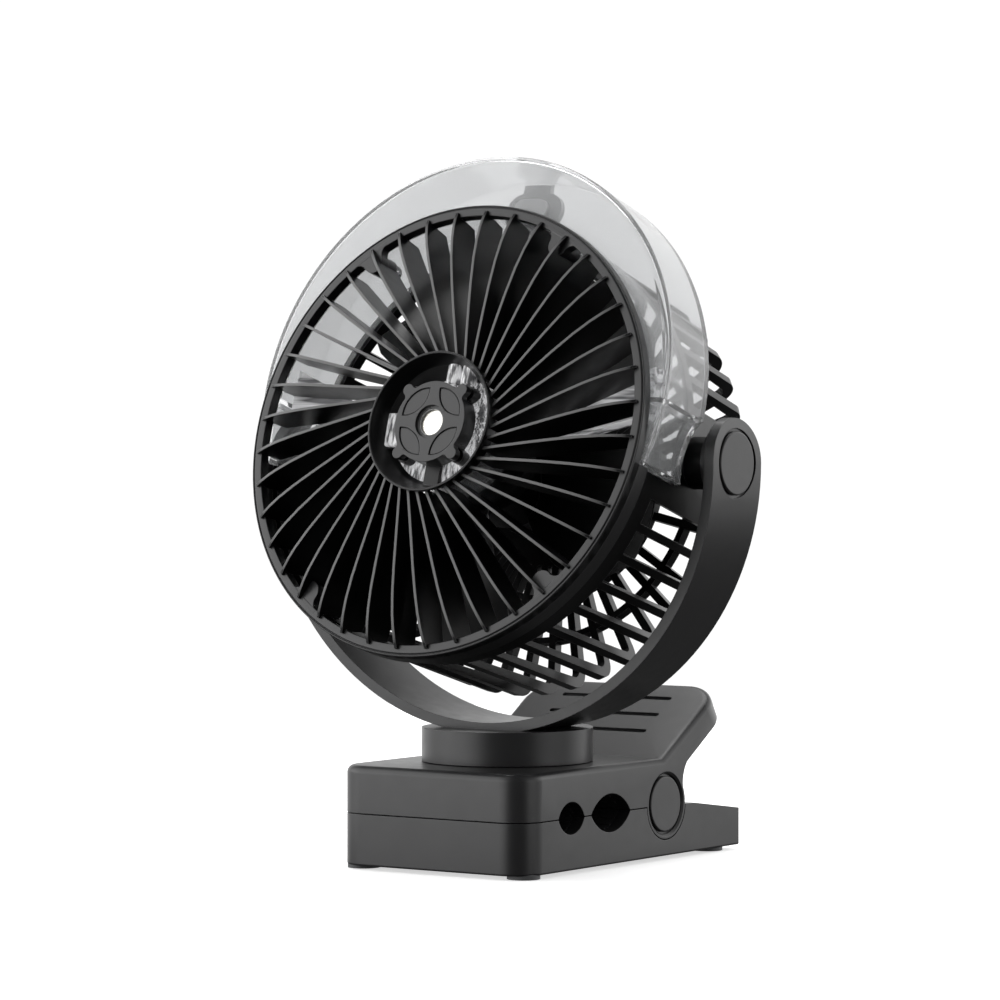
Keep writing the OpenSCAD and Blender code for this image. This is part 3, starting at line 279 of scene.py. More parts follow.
@dataclass(frozen=True)
class Moulding:
    """Moulded plastic or rubber: fine grain, uneven gloss, edges made lighter in colour, partly as
    wear from handling and partly as a painted highlight, and faces that look along the blow
    painted lighter as a painted highlight.

    Sizes are in millimetres.
    """

    name: str
    colour: Triple
    roughness: float
    grain: float = 0.35
    depth: float = 0.006
    edge: float = 0.35
    # How much lighter the edges are made: wear from handling, and a painted highlight where it is
    # large.
    rub_and_highlight: float = 0.35
    specular: float = 0.5
    # A grey painted on faces that look along the blow: a painted highlight.
    front: float = 0.0
    rub_and_highlight_reach: float = 1.6
    rub_and_highlight_lift: float = 0.012
    clouds: Speckle = Speckle(14.0, 4.0)
    dulled: float = 0.93
    patches: Speckle = Speckle(5.0, 5.0)
    unevenness: float = 0.025

    def build(self) -> bpy.types.Material:
        """Makes the material.

        Returns:
            The material.
        """
        g = Graph(bpy.data.materials.new(self.name))
        # Edges get a lighter colour: wear from handling, and a painted highlight.
        lift = self.rub_and_highlight_lift * self.rub_and_highlight
        worn_and_highlit = tuple(min(1.0, c * (1 + self.rub_and_highlight) + lift) for c in self.colour)
        dull = tuple(c * self.dulled for c in self.colour)
        body = g.blend(g.spread(g.noise(self.clouds)), dull, self.colour)
        colour = g.blend(g.edges(self.edge * self.rub_and_highlight_reach), body, worn_and_highlit)
        # Faces that look along the blow are painted grey: a painted highlight on the vanes'
        # fronts.
        if self.front:
            colour = g.blend(g.facing(BLOW), colour, (self.front,) * 3)
        low, high = self.roughness - self.unevenness, self.roughness + self.unevenness
        gloss = g.spread(g.noise(self.patches), low, high)
        normal = g.relief(g.noise(Speckle(self.grain, 3.0)), self.depth, g.rounded(self.edge))
        return g.finish(
            Base_Color=colour, Roughness=gloss, Normal=normal, Specular_IOR_Level=self.specular
        )


@dataclass(frozen=True)
class ClearPlastic:
    """See-through plastic with faint moulding flow in its gloss and, where it has streaks, dark
    bands painted into its colour as painted sparkle, with bumps along the same flow.

    Sizes are in millimetres. A share of its colour glows out as a painted glow, though it is no
    lamp.
    """

    name: str
    colour: Triple
    roughness: float
    ior: float = 1.45
    clearness: float = 1.0
    streaks: float = 0.0
    stretch: Triple = (1.0, 0.3, 0.18)
    # How strongly it glows: a painted glow, as it is no lamp.
    lit: float = 0.0
    patches: Speckle = Speckle(9.0, 3.0)
    unevenness: Pair = (0.5, 1.5)
    waves: Speckle = Speckle(16.0, 1.0)
    wave_depth: float = 0.03
    glint_shade_colour: Triple = (0.12, 0.12, 0.125)
    streak_span: Pair = (0.4, 0.55)
    streak_depth: float = 0.6

    def build(self) -> bpy.types.Material:
        """Makes the material.

        Returns:
            The material.
        """
        g = Graph(bpy.data.materials.new(self.name))
        low, high = (self.roughness * share for share in self.unevenness)
        colour = self.colour
        # Dark streaks painted into the colour stand for the dark bands between glints; the same
        # flow bumps the surface.
        if self.streaks:
            flow = g.noise(Speckle(self.streaks), self.stretch)
            share = g.spread(flow, span=self.streak_span)
            colour = g.blend(share, self.glint_shade_colour, self.colour)
            normal = g.relief(flow, self.streak_depth)
        else:
            normal = g.relief(g.noise(self.waves), self.wave_depth)
        return g.finish(
            Base_Color=colour,
            Roughness=g.spread(g.noise(self.patches), low, high),
            Normal=normal,
            IOR=self.ior,
            Transmission_Weight=self.clearness,
            # Painted glow: the plastic gives out light of its own colour, though it is no lamp.
            Emission_Color=colour,
            Emission_Strength=self.lit,
        )


@dataclass(frozen=True)
class Metal:
    """Turned, drawn or plated metal with fine tool marks. Sizes are in millimetres."""

    name: str
    colour: Triple
    roughness: float
    stains: Speckle = Speckle(3.0, 5.0)
    stained: float = 0.82
    patches: Speckle = Speckle(1.2, 4.0)
    unevenness: Pair = (-0.07, 0.08)
    marks: Speckle = Speckle(0.2)
    depth: float = 0.004
    edge: float = 0.15

    def build(self) -> bpy.types.Material:
        """Makes the material.

        Returns:
            The material.
        """
        g = Graph(bpy.data.materials.new(self.name))
        stained = tuple(c * self.stained for c in self.colour)
        colour = g.blend(g.spread(g.noise(self.stains)), stained, self.colour)
        low, high = (self.roughness + more for more in self.unevenness)
        gloss = g.spread(g.noise(self.patches), low, high)
        normal = g.relief(g.noise(self.marks), self.depth, g.rounded(self.edge))
        return g.finish(Base_Color=colour, Roughness=gloss, Normal=normal, Metallic=1.0)


@dataclass(frozen=True)
class Fibre:
    """Pressed fibre of the wick. Sizes are in millimetres."""

    name: str
    colour: Triple
    roughness: float = 0.95
    strands: Speckle = Speckle(0.25, 6.0)
    shaded: float = 0.7
    depth: float = 0.12

    def build(self) -> bpy.types.Material:
        """Makes the material.

        Returns:
            The material.
        """
        g = Graph(bpy.data.materials.new(self.name))
        strands = g.noise(self.strands)
        shade = tuple(c * self.shaded for c in self.colour)
        colour = g.blend(g.spread(strands), shade, self.colour)
        normal = g.relief(strands, self.depth)
        return g.finish(Base_Color=colour, Roughness=self.roughness, Normal=normal)


class Finish(Enum):
    """The fan's finishes, by the names of their materials."""

    SHELL = Moulding("black_shell", (0.024, 0.024, 0.025), 0.32, rub_and_highlight=0.8)
    # A darker copy of the shell's black: painted shade for the cup, the vanes and the parts inside
    # the head, though the vanes and the cup are moulded in one with the ring; its strong edge
    # lightening paints highlights on their edges.
    INNER = Moulding("black_inner", (0.005, 0.005, 0.0054), 0.3, rub_and_highlight=8.0, specular=0.3)
    # The vanes also get a painted highlight on their fronts.
    VANE = replace(INNER, name="black_vane", front=0.15)
    BUTTON = Moulding("black_button", (0.035, 0.035, 0.036), 0.4, edge=0.5)
    GRIP = Moulding("grip_rubber", (0.02, 0.02, 0.021), 0.7, grain=0.5, depth=0.02)
    GREY = Moulding("grey_rubber", (0.09, 0.092, 0.095), 0.6, grain=0.5, depth=0.01)
    SEAL = Moulding("seal_rubber", (0.5, 0.5, 0.5), 0.65)
    PLUG = Moulding("pale_rubber", (0.56, 0.56, 0.565), 0.5, grain=0.5, depth=0.01)
    # This and the arms below glow a little and carry dark painted streaks: painted sparkle of the
    # clear plastic.
    HUB = ClearPlastic(
        "clear_hub", (0.95, 0.95, 0.96), 0.06, clearness=0.2, streaks=1.1, lit=0.22
    )
    ARM = ClearPlastic(
        "clear_arm",
        (0.9, 0.9, 0.91),
        0.05,
        clearness=0.4,
        streaks=3.0,
        stretch=(0.1, 1.0, 1.0),
        lit=0.2,
    )
    TANK = ClearPlastic("clear_tank", (0.84, 0.845, 0.85), 0.03, ior=1.3, clearness=0.88)
    STEEL = Metal("steel", (0.56, 0.56, 0.58), 0.32)
    MOTOR = Metal("motor_steel", (0.32, 0.32, 0.34), 0.4)
    BRASS = Metal("bearing_brass", (0.72, 0.55, 0.28), 0.3)
    DISC = Metal("disc_metal", (0.8, 0.78, 0.72), 0.28)
    WICK = Fibre("wick_fibre", (0.85, 0.84, 0.8))
    BOARD = Moulding("board_green", (0.02, 0.12, 0.05), 0.35, edge=0.1, grain=0.8)
    PACK = Moulding("battery_pack", (0.08, 0.16, 0.3), 0.25, edge=0.5, grain=2.0)
    LENS = ClearPlastic("light_lens", (0.8, 0.9, 0.95), 0.25, clearness=0.6)

    @property
    def title(self) -> str:
        """Gives the material's name."""
        return self.value.name


@cache
def material(finish: Finish) -> bpy.types.Material:
    """Gives a finish's material, made once."""
    return finish.value.build()


# Shaping


def deselect() -> None:
    """Leaves object mode with nothing selected."""
    if bpy.context.object and bpy.context.object.mode != "OBJECT":
        bpy.ops.object.mode_set(mode="OBJECT")
    bpy.ops.object.select_all(action="DESELECT")


def pick(*pieces: Piece) -> Piece:
    """Selects pieces.

    Args:
        pieces: The pieces, the one to be active first.

    Returns:
        The first.
    """
    deselect()
    for piece in pieces:
        piece.select_set(True)
    bpy.context.view_layer.objects.active = pieces[0]
    return pieces[0]


@contextmanager
def editing(piece: Piece, toward: Vector | None = None) -> Iterator[None]:
    """Opens a piece for editing, and closes it after.

    Args:
        piece: The piece.
        toward: Selects the faces that look this way, and otherwise everything.
    """
    pick(piece)
    bpy.ops.object.mode_set(mode="EDIT")
    bpy.ops.mesh.select_all(action="SELECT" if toward is None else "DESELECT")
    if toward is not None:
        bpy.ops.object.mode_set(mode="OBJECT")
        for face in piece.data.polygons:
            face.select = face.normal.dot(toward) > 0.9
        bpy.ops.object.mode_set(mode="EDIT")
    yield
    bpy.ops.object.mode_set(mode="OBJECT")


def place(piece: Piece, matrix: Matrix) -> Piece:
    """Moves a piece and puts its place into its mesh.

    Args:
        piece: The piece.
        matrix: Where it goes.

    Returns:
        The same piece, at the origin.
    """
    pick(piece)
    piece.matrix_world = matrix @ piece.matrix_world
    bpy.ops.object.transform_apply(location=True, rotation=True, scale=True)
    return piece


def shift(x: float = 0.0, y: float = 0.0, z: float = 0.0) -> Matrix:
    """Gives a move in millimetres."""
    return Matrix.Translation((x * MM, y * MM, z * MM))


def turn(degrees: float, axis: str = "Z") -> Matrix:
    """Gives a turn about an axis through the origin."""
    return Matrix.Rotation(math.radians(degrees), 4, axis)


def offset(outline: Sequence[Pair], radius: float, height: float) -> list[Pair]:
    """Moves an outline outwards and upwards."""
    return [(radius + r, height + z) for r, z in outline]


def turned(name: str, profile: list[Pair], segments: int = 128) -> Piece:
    """Turns a closed profile about the Z axis, edge by edge.

    Args:
        name: The piece's name.
        profile: Radius and height of each corner, in millimetres, none on the axis.
        segments: Steps round the axis.

    Returns:
        The turned piece.
    """
    deselect()
    radius, height = profile[0]
    bpy.ops.mesh.primitive_circle_add(
        vertices=segments, radius=radius * MM, location=(0, 0, height * MM)
    )
    piece = bpy.context.object
    piece.name = name
    with editing(piece):
        for (ra, za), (rb, zb) in zip(profile, profile[1:] + profile[:1]):
            rise = (0, 0, (zb - za) * MM)
            bpy.ops.mesh.extrude_edges_move(TRANSFORM_OT_translate={"value": rise})
            bpy.ops.transform.resize(value=(rb / ra, rb / ra, 1), center_override=(0, 0, 0))
        bpy.ops.mesh.select_all(action="SELECT")
        bpy.ops.mesh.remove_doubles(threshold=1e-6)
        bpy.ops.mesh.normals_make_consistent(inside=False)
    return place(piece, Matrix())


def collar(
    name: str, sides: Pair, ends: Pair, foot: float = 0.0, top: float = 0.0, segments: int = 128
) -> Piece:
    """Turns a plain ring, whose outer corners may be chamfered. Sizes are in millimetres.

    Args:
        name: The piece's name.
        sides: Its inner and outer radius.
        ends: Heights of its lower and upper end.
        foot: Width of the lower chamfer.
        top: Width of the upper chamfer.
        segments: Steps round the axis.

    Returns:
        The ring.
    """
    (inner, outer), (low, high) = sides, ends
    below = [(inner, low), (outer - foot, low), (outer, low + foot)]
    above = [(outer, high - top), (outer - top, high), (inner, high)]
    # Without a chamfer, two corners are the same.
    return turned(name, list(dict.fromkeys(below + above)), segments)


def rod(name: str, radius: float, low: float, high: float, segments: int = 64) -> Piece:
    """Adds an upright round rod.

    Args:
        name: The piece's name.
        radius: Its radius, in millimetres.
        low: Height of its lower end.
        high: Height of its upper end.
        segments: Steps round the axis.

    Returns:
        The rod.
    """
    deselect()
    bpy.ops.mesh.primitive_cylinder_add(
        vertices=segments,
        radius=radius * MM,
        depth=(high - low) * MM,
        location=(0, 0, (low + high) / 2 * MM),
    )
    bpy.context.object.name = name
    return place(bpy.context.object, Matrix())


def block(name: str, low: Triple, high: Triple) -> Piece:
    """Adds a block.

    Args:
        name: The piece's name.
        low: Its lowest corner, in millimetres.
        high: Its highest corner.

    Returns:
        The block.
    """
    deselect()
    centre = [(a + b) / 2 * MM for a, b in zip(low, high)]
    bpy.ops.mesh.primitive_cube_add(size=MM, location=centre)
    piece = bpy.context.object
    piece.name = name
    piece.scale = [b - a for a, b in zip(low, high)]
    return place(piece, Matrix())


def applied(piece: Piece, kind: str, **settings: object) -> Piece:
    """Adds a modifier and applies it.

    Args:
        piece: The piece.
        kind: Blender's name for the modifier.
        settings: Its properties.

    Returns:
        The same piece.
    """
    pick(piece)
    made = piece.modifiers.new("shape", kind)
    for key, value in settings.items():
        setattr(made, key, value)
    bpy.ops.object.modifier_apply(modifier=made.name)
    return piece


def combine(piece: Piece, other: Piece, how: str) -> Piece:
    """Cuts, joins or keeps the overlap of two solids, and uses up the second.

    Args:
        piece: The first solid.
        other: The second solid.
        how: DIFFERENCE, UNION or INTERSECT.

    Returns:
        The first, changed.
    """
    applied(piece, "BOOLEAN", operation=how, object=other, solver="EXACT")
    bpy.data.objects.remove(other)
    return piece


def rounded(piece: Piece, width: float, angle: float = 30.0, steps: int = 2) -> Piece:
    """Rounds sharp edges.

    Args:
        piece: The piece.
        width: How far the rounding reaches, in millimetres.
        angle: Edges sharper than this are rounded, in degrees.
        steps: Faces round each edge.

    Returns:
        The same piece.
    """
    return applied(
        piece,
        "BEVEL",
        width=width * MM,
        segments=steps,
        limit_method="ANGLE",
        angle_limit=math.radians(angle),
        use_clamp_overlap=True,
    )


def copies(piece: Piece, places: Sequence[Matrix]) -> list[Piece]:
    """Copies a piece, each copy with its own mesh, and uses up the first.

    Args:
        piece: The piece.
        places: Where each copy goes.

    Returns:
        The copies.
    """
    made = []
    for matrix in places:
        twin = piece.copy()
        twin.data = piece.data.copy()
        bpy.context.scene.collection.objects.link(twin)
        made.append(place(twin, matrix))
    bpy.data.objects.remove(piece)
    return made


def gathered(name: str, pieces: Sequence[Piece]) -> Piece:
    """Makes one object of several.

    Args:
        name: The object's name.
        pieces: The pieces.

    Returns:
        The object.
    """
    first = pick(*pieces)
    if len(pieces) > 1:
        bpy.ops.object.join()
    first.name = name
    return first


def cut_flat(piece: Piece, at: float, keep_above: bool = True) -> Piece:
    """Cuts a piece flush at a height across the head and closes the cut.

    Args:
        piece: The piece, in the head's own frame.
        at: Height along Y, in millimetres.
        keep_above: Keeps what is above, and otherwise what is below.

    Returns:
        The same piece.
    """
    with editing(piece):
        bpy.ops.mesh.bisect(
            plane_co=(0, at * MM, 0),
            plane_no=(0, 1, 0),
            use_fill=True,
            clear_inner=keep_above,
            clear_outer=not keep_above,
        )
    return piece


def hollow(outer: Piece, inner: Piece) -> Piece:
    """Puts a closed space inside a solid by turning the inner solid inside out.

    Args:
        outer: The solid.
        inner: The shape of the space.

    Returns:
        The hollow solid.
    """
    with editing(inner):
        bpy.ops.mesh.flip_normals()
    return gathered(outer.name, [outer, inner])


def seated(
    piece: Piece,
    finish: Finish,
    body: str,
    *nodes: str,
    at: Matrix = HEAD,
    angle: float = 35.0,
    slot: Finish | None = None,
) -> None:
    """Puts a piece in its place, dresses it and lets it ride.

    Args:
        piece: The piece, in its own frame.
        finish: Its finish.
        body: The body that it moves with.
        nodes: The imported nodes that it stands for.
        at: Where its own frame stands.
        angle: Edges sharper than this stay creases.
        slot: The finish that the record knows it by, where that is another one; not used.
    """
    place(piece, at)
    piece.data.materials.clear()
    piece.data.materials.append(material(finish))
    bpy.ops.object.shade_smooth_by_angle(angle=math.radians(angle))
    applied(piece, "WEIGHTED_NORMAL", keep_sharp=True)
    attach(piece, body)
    if nodes:
        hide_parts(*nodes)
    LOG.info("%s: %s, for %s", piece.name, finish.title, ", ".join(nodes) or "no node")


# Sub-assemblies


class Model(Protocol):
    """What models a piece or more of the fan."""

    def build(self) -> None:
        """Models the pieces."""


class Assembly:
    """A sub-assembly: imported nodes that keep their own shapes, and models of new pieces."""

    parts: dict[Finish, tuple[str, ...]]
    models: tuple[Model, ...]
    crease: float = 30.0
    weld: float = 1e-6

    def dress(self, node: str, finish: Finish) -> None:
        """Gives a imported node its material, and smooth faces between its creases.

        Args:
            node: The node's name.
            finish: Its finish.
        """
        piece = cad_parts[node]
        piece.data.materials.clear()
        piece.data.materials.append(material(finish))
        piece.data.polygons.foreach_set("use_smooth", [True] * len(piece.data.polygons))
        piece.modifiers.new("join", "WELD").merge_threshold = self.weld
        piece.modifiers.new("creases", "EDGE_SPLIT").split_angle = math.radians(self.crease)
        LOG.info("%s: %s", node, finish.title)

    def build(self) -> None:
        """Dresses the nodes and builds the models."""
        for finish, nodes in self.parts.items():
            for node in nodes:
                self.dress(node, finish)
        for model in self.models:
            model.build()


@dataclass(frozen=True)
class SideCaps:
    """A pair of round caps with well rounded rims, one on each side of the fan.

    Sizes are in millimetres. The centre is given by Y and Z.
    """

    name: str
    body: str
    node: str
    radius: float
    reach: Pair
    centre: Pair
    rim: float = 0.8

    def build(self) -> None:
        """Models both caps in one piece."""
        disc = rounded(rod("disc", self.radius, *self.reach, 96), self.rim, SQUARE, steps=5)
        spot = shift(0.0, *self.centre)
        pair = copies(disc, [spot @ turn(side, "Y") for side in (90, -90)])
        seated(gathered(self.name, pair), Finish.SHELL, self.body, self.node, at=Matrix())


class ClipBase(Assembly):
    """The clip: two jaws, their pads, the lever, the hinge and what is inside."""

    parts = {
        Finish.SHELL: ("lower_jaw", "bottom_cover", "upper_jaw"),
        Finish.INNER: ("upper_cover",),
        Finish.GREY: ("feet",),
        Finish.GRIP: ("lower_pad", "upper_pad"),
        Finish.PACK: ("battery",),
        Finish.BOARD: ("charge_board",),
        Finish.STEEL: ("bottom_screws", "usb_port", "hinge_pin", "torsion_springs"),
    }
    models = (
        SideCaps("hinge_discs", "upper_clip", "hinge_caps", 10.9, (42.5, 43.8), (45.2, 21.7)),
    )


class Turret(Assembly):
    """The swivelling neck and the yoke on it."""

    parts = {
        Finish.SHELL: ("neck", "yoke"),
        Finish.INNER: ("swivel_washer",),
        Finish.STEEL: ("swivel_screws", "yoke_screws"),
    }
    models = (
        SideCaps("pivot_discs", "turret", "pivot_caps", 12.0, (102.7, 104.1), (0.0, TILT_AXIS)),
    )


@dataclass(frozen=True)
class SwirlGrille:
    """The front grille: a stepped ring, thin swirl vanes and the cup of the nozzle.

    Sizes are in millimetres, in the head's own frame, with Z along the blow. The outlines of
    the ring and the rim are radius and height from their outer upper edge.
    """

    ring: float = 89.0
    face: float = 45.0
    back: float = 34.4
    ring_inner: float = 84.6
    ring_outline: tuple[Pair, ...] = (
        (-4.4, -4.4), (-0.2, -4.4), (0.0, -4.2), (0.0, -0.7), (-0.15, -0.35), (-0.5, -0.22),
        (-0.9, -0.7), (-1.3, -0.1), (-1.45, 0.0), (-4.2, 0.0), (-4.4, -0.2),
    )
    band_inner: float = 86.9
    band_top: float = -12.3
    band_deep: float = 1.0
    chamfer: float = 0.2
    segments: int = 160

    vanes: int = 40
    first: float = 6.9
    thickness: float = 1.1
    vane_edge: float = 0.22
    sweep: float = 19.2
    bow: float = 0.3
    tip: float = 86.3
    heel: float = 27.1
    tuck: float = 0.5
    ledge: float = 40.6
    backs: tuple[Pair, ...] = (
        (83.0, 34.5), (79.0, 34.5), (74.0, 34.5), (66.0, 34.6), (56.0, 34.8), (46.0, 35.4),
        (36.0, 37.0), (26.6, 40.0),
    )
    rise: Pair = (0.93, 7.1)
    rise_from: float = 27.7
    power: float = 5.2
    halvings: int = 30

    cup: float = 27.5
    cup_low: float = 24.1
    cup_wall: float = 1.6
    rim: float = 55.1
    rim_outline: tuple[Pair, ...] = (
        (0.0, -1.5), (0.0, -0.3), (-0.12, -0.08), (-0.35, 0.0), (-0.75, 0.0), (-0.95, -0.15),
        (-1.2, -1.0), (-2.2, -3.0),
    )
    seat: Pair = (10.7, 13.9)
    seat_top: float = 52.6
    seat_chamfer: float = 0.4
    pillar: float = 2.8
    pillar_at: float = 17.4
    pillar_tall: float = 4.5
    web: Pair = (13.5, 17.0)
    web_half: float = 2.4
    keel: Triple = (3.5, 9.8, 1.8)
    keel_gap: float = 0.8
    keel_edge: float = 0.3
    plate: Pair = (18.5, 19.2)
    plate_end: Pair = (11.5, -9.0)
    plate_heel: float = 0.4
    plate_edge: float = 0.15
    flange: Pair = (21.6, 22.0)
    flange_end: float = 13.5
    slope: Triple = (0.2, 1.2, 4.2)
    beyond: float = 30.0

    boss: float = 4.2
    boss_deep: float = 4.2
    boss_fillet: float = 4.0
    boss_in: float = 3.0
    boss_edge: float = 0.2
    post_edge: float = 0.3
    slack: float = 0.05

    def front(self, r: float) -> float:
        """Gives the height of the vanes' front at a radius."""
        share = max(0.0, (r - self.rise_from) / (self.tip - self.rise_from))
        return self.face + self.rise[0] + (self.rise[1] - self.rise[0]) * (1 - share**self.power)

    def along(self, r: float) -> tuple[Vector, float]:
        """Gives the middle of a vane at a radius.

        Args:
            r: The radius.

        Returns:
            The point, and the vane's heading in degrees.
        """
        start = Vector((self.tip, 0.0))
        sweep = math.radians(self.sweep)
        way = Vector((math.cos(sweep), -math.sin(sweep))) * self.heel - start
        side = Vector((way.y, -way.x)).normalized()

        def at(t: float) -> Vector:
            """Gives the point at a share of the way."""
            return start + t * way + 4 * t * (1 - t) * self.bow * side

        low, high = 0.0, 1.05
        for _ in range(self.halvings):
            t = (low + high) / 2
            low, high = (t, high) if at(t).length > r else (low, t)
        heading = way + 4 * (1 - 2 * t) * self.bow * side
        return at(t), math.degrees(math.atan2(-heading.y, -heading.x))

    def vane(self) -> Piece:
        """Models one vane from its squared tip on the ring to its root on the cup.

        Returns:
            The vane.
        """
        inner, under = self.ring_inner - self.chamfer, self.face - self.tuck
        stations = [(inner, under), (inner - 0.01, self.ledge), *self.backs]
        spot, heading = self.along(self.tip)
        height = self.front(self.tip) - under
        middle = Vector((spot.x, spot.y, under + height / 2)) * MM
        deselect()
        bpy.ops.mesh.primitive_plane_add(
            size=MM, location=middle, rotation=(0, math.pi / 2, math.radians(heading))
        )
        piece = bpy.context.object
        piece.name = "vane"
        piece.scale = (height, self.thickness, 1)
        place(piece, Matrix())
        with editing(piece):
            for r, back in stations:
                spot, course = self.along(r)
                tall = self.front(r) - back
                centre = Vector((spot.x, spot.y, back + tall / 2)) * MM
                step, size = {"value": centre - middle}, (1, 1, tall / height)
                lean = math.radians(heading - course)
                bpy.ops.mesh.extrude_region_move(TRANSFORM_OT_translate=step)
                bpy.ops.transform.resize(value=size, center_override=centre)
                bpy.ops.transform.rotate(value=lean, orient_axis="Z", center_override=centre)
                middle, height, heading = centre, tall, course
            bpy.ops.mesh.select_all(action="SELECT")
            bpy.ops.mesh.normals_make_consistent(inside=False)
        return rounded(piece, self.vane_edge, 50)

    def hoop(self) -> list[Piece]:
        """Models the stepped ring and the band below its middle.

        Returns:
            Both.
        """
        ring = turned("ring", offset(self.ring_outline, self.ring, self.face), self.segments)
        sides, ends = (self.band_inner, self.ring), (self.back, self.face - self.band_deep)
        band = collar("band", sides, ends, foot=self.chamfer, segments=self.segments)
        return [ring, cut_flat(band, self.band_top, keep_above=False)]

    def ear(self) -> Piece:
        """Models a screw boss whose plate runs into the ring with two fillets.

        Returns:
            The boss.
        """
        fillet = self.boss_fillet
        x = self.ring_inner - fillet
        y = math.sqrt((self.boss + fillet) ** 2 - (x - BOSS_AT) ** 2)
        low, high = self.face - self.boss_deep, self.face - self.slack
        plate = block("plate", (x, -y, low), (self.ring - self.boss_in, y, high))
        for side in (-1, 1):
            cutter = rod("cutter", fillet + self.slack, low - PAST, high + PAST)
            combine(plate, place(cutter, shift(x, side * y)), "DIFFERENCE")
        disc = place(rod("disc", self.boss, low, high), shift(BOSS_AT))
        combine(plate, disc, "UNION")
        post = rounded(
            rod("post", self.boss - LAP, self.back + LAP, low + PAST), self.post_edge, SQUARE
        )
        plate = rounded(plate, self.boss_edge, SQUARE)
        return gathered("boss", [plate, place(post, shift(BOSS_AT))])

    def sloped(self, name: str, inner: Pair, *away: tuple[Pair, Pair]) -> Piece:
        """Turns a sloped plate against the cup's wall, and cuts parts of it away.

        Args:
            name: The piece's name.
            inner: Radius of its inner edge, below and above.
            away: Corners of each rectangle that is cut away, seen from the front.

        Returns:
            The plate.
        """
        floor, (low, high, tall) = self.face, self.slope
        outline = [(inner[0], floor), (self.cup_low + low, floor)]
        outline += [(self.cup_low + high, floor + tall), (inner[1], floor + self.plate_heel)]
        plate = turned(name, outline, 96)
        for start, end in away:
            cutter = block("open", (*start, floor - PAST), (*end, floor + tall + PAST))
            combine(plate, cutter, "DIFFERENCE")
        return rounded(plate, self.plate_edge)

    def bowl(self) -> list[Piece]:
        """Models the cup and what stands in it.

        Returns:
            The cup, the cap's seat, the keel, two sloped plates and the ribs.
        """
        floor, low, far = self.face, self.cup_low, self.beyond
        lip = offset(self.rim_outline, self.cup, self.rim)
        outline = [(low - self.cup_wall, floor), (low, floor), *lip]
        cup = turned("cup", outline, self.segments)
        seat = collar("seat", self.seat, (floor, self.seat_top), top=self.seat_chamfer)
        ribs = []
        for angle in QUARTERS:
            start, end = self.web
            top = floor + self.pillar_tall
            web = block("web", (start, -self.web_half, floor), (end, self.web_half, top))
            lobe = place(rod("pillar", self.pillar, floor, top, 32), shift(self.pillar_at))
            ribs.append(place(combine(lobe, web, "UNION"), turn(angle)))
        half, long, tall = self.keel
        foot = self.keel_gap - low
        keel = block("keel", (-half, foot, floor), (half, foot + long, floor + tall))
        right, foot = self.plate_end
        open_side, open_foot = ((right, -far), (far, far)), ((-far, -far), (far, foot))
        plate = self.sloped("plate", self.plate, open_side, open_foot)
        flange = self.sloped("flange", self.flange, ((self.flange_end, -far), (far, far)))
        return [cup, seat, rounded(keel, self.keel_edge), plate, flange, *ribs]

    def build(self) -> None:
        """Models the ring with its bosses, the cup and the vanes."""
        step = 360 / self.vanes
        vanes = copies(self.vane(), [turn(self.first + i * step) for i in range(self.vanes)])
        ears = copies(self.ear(), [turn(angle) for angle in BOSSES])
        rim = gathered("grille_ring", [*self.hoop(), *ears])
        seated(rim, Finish.SHELL, "head", slot=Finish.INNER)
        seated(gathered("nozzle_cup", self.bowl()), Finish.INNER, "head")
        swirl = gathered("swirl_vanes", vanes)
        seated(swirl, Finish.VANE, "head", "front_grille", slot=Finish.INNER)


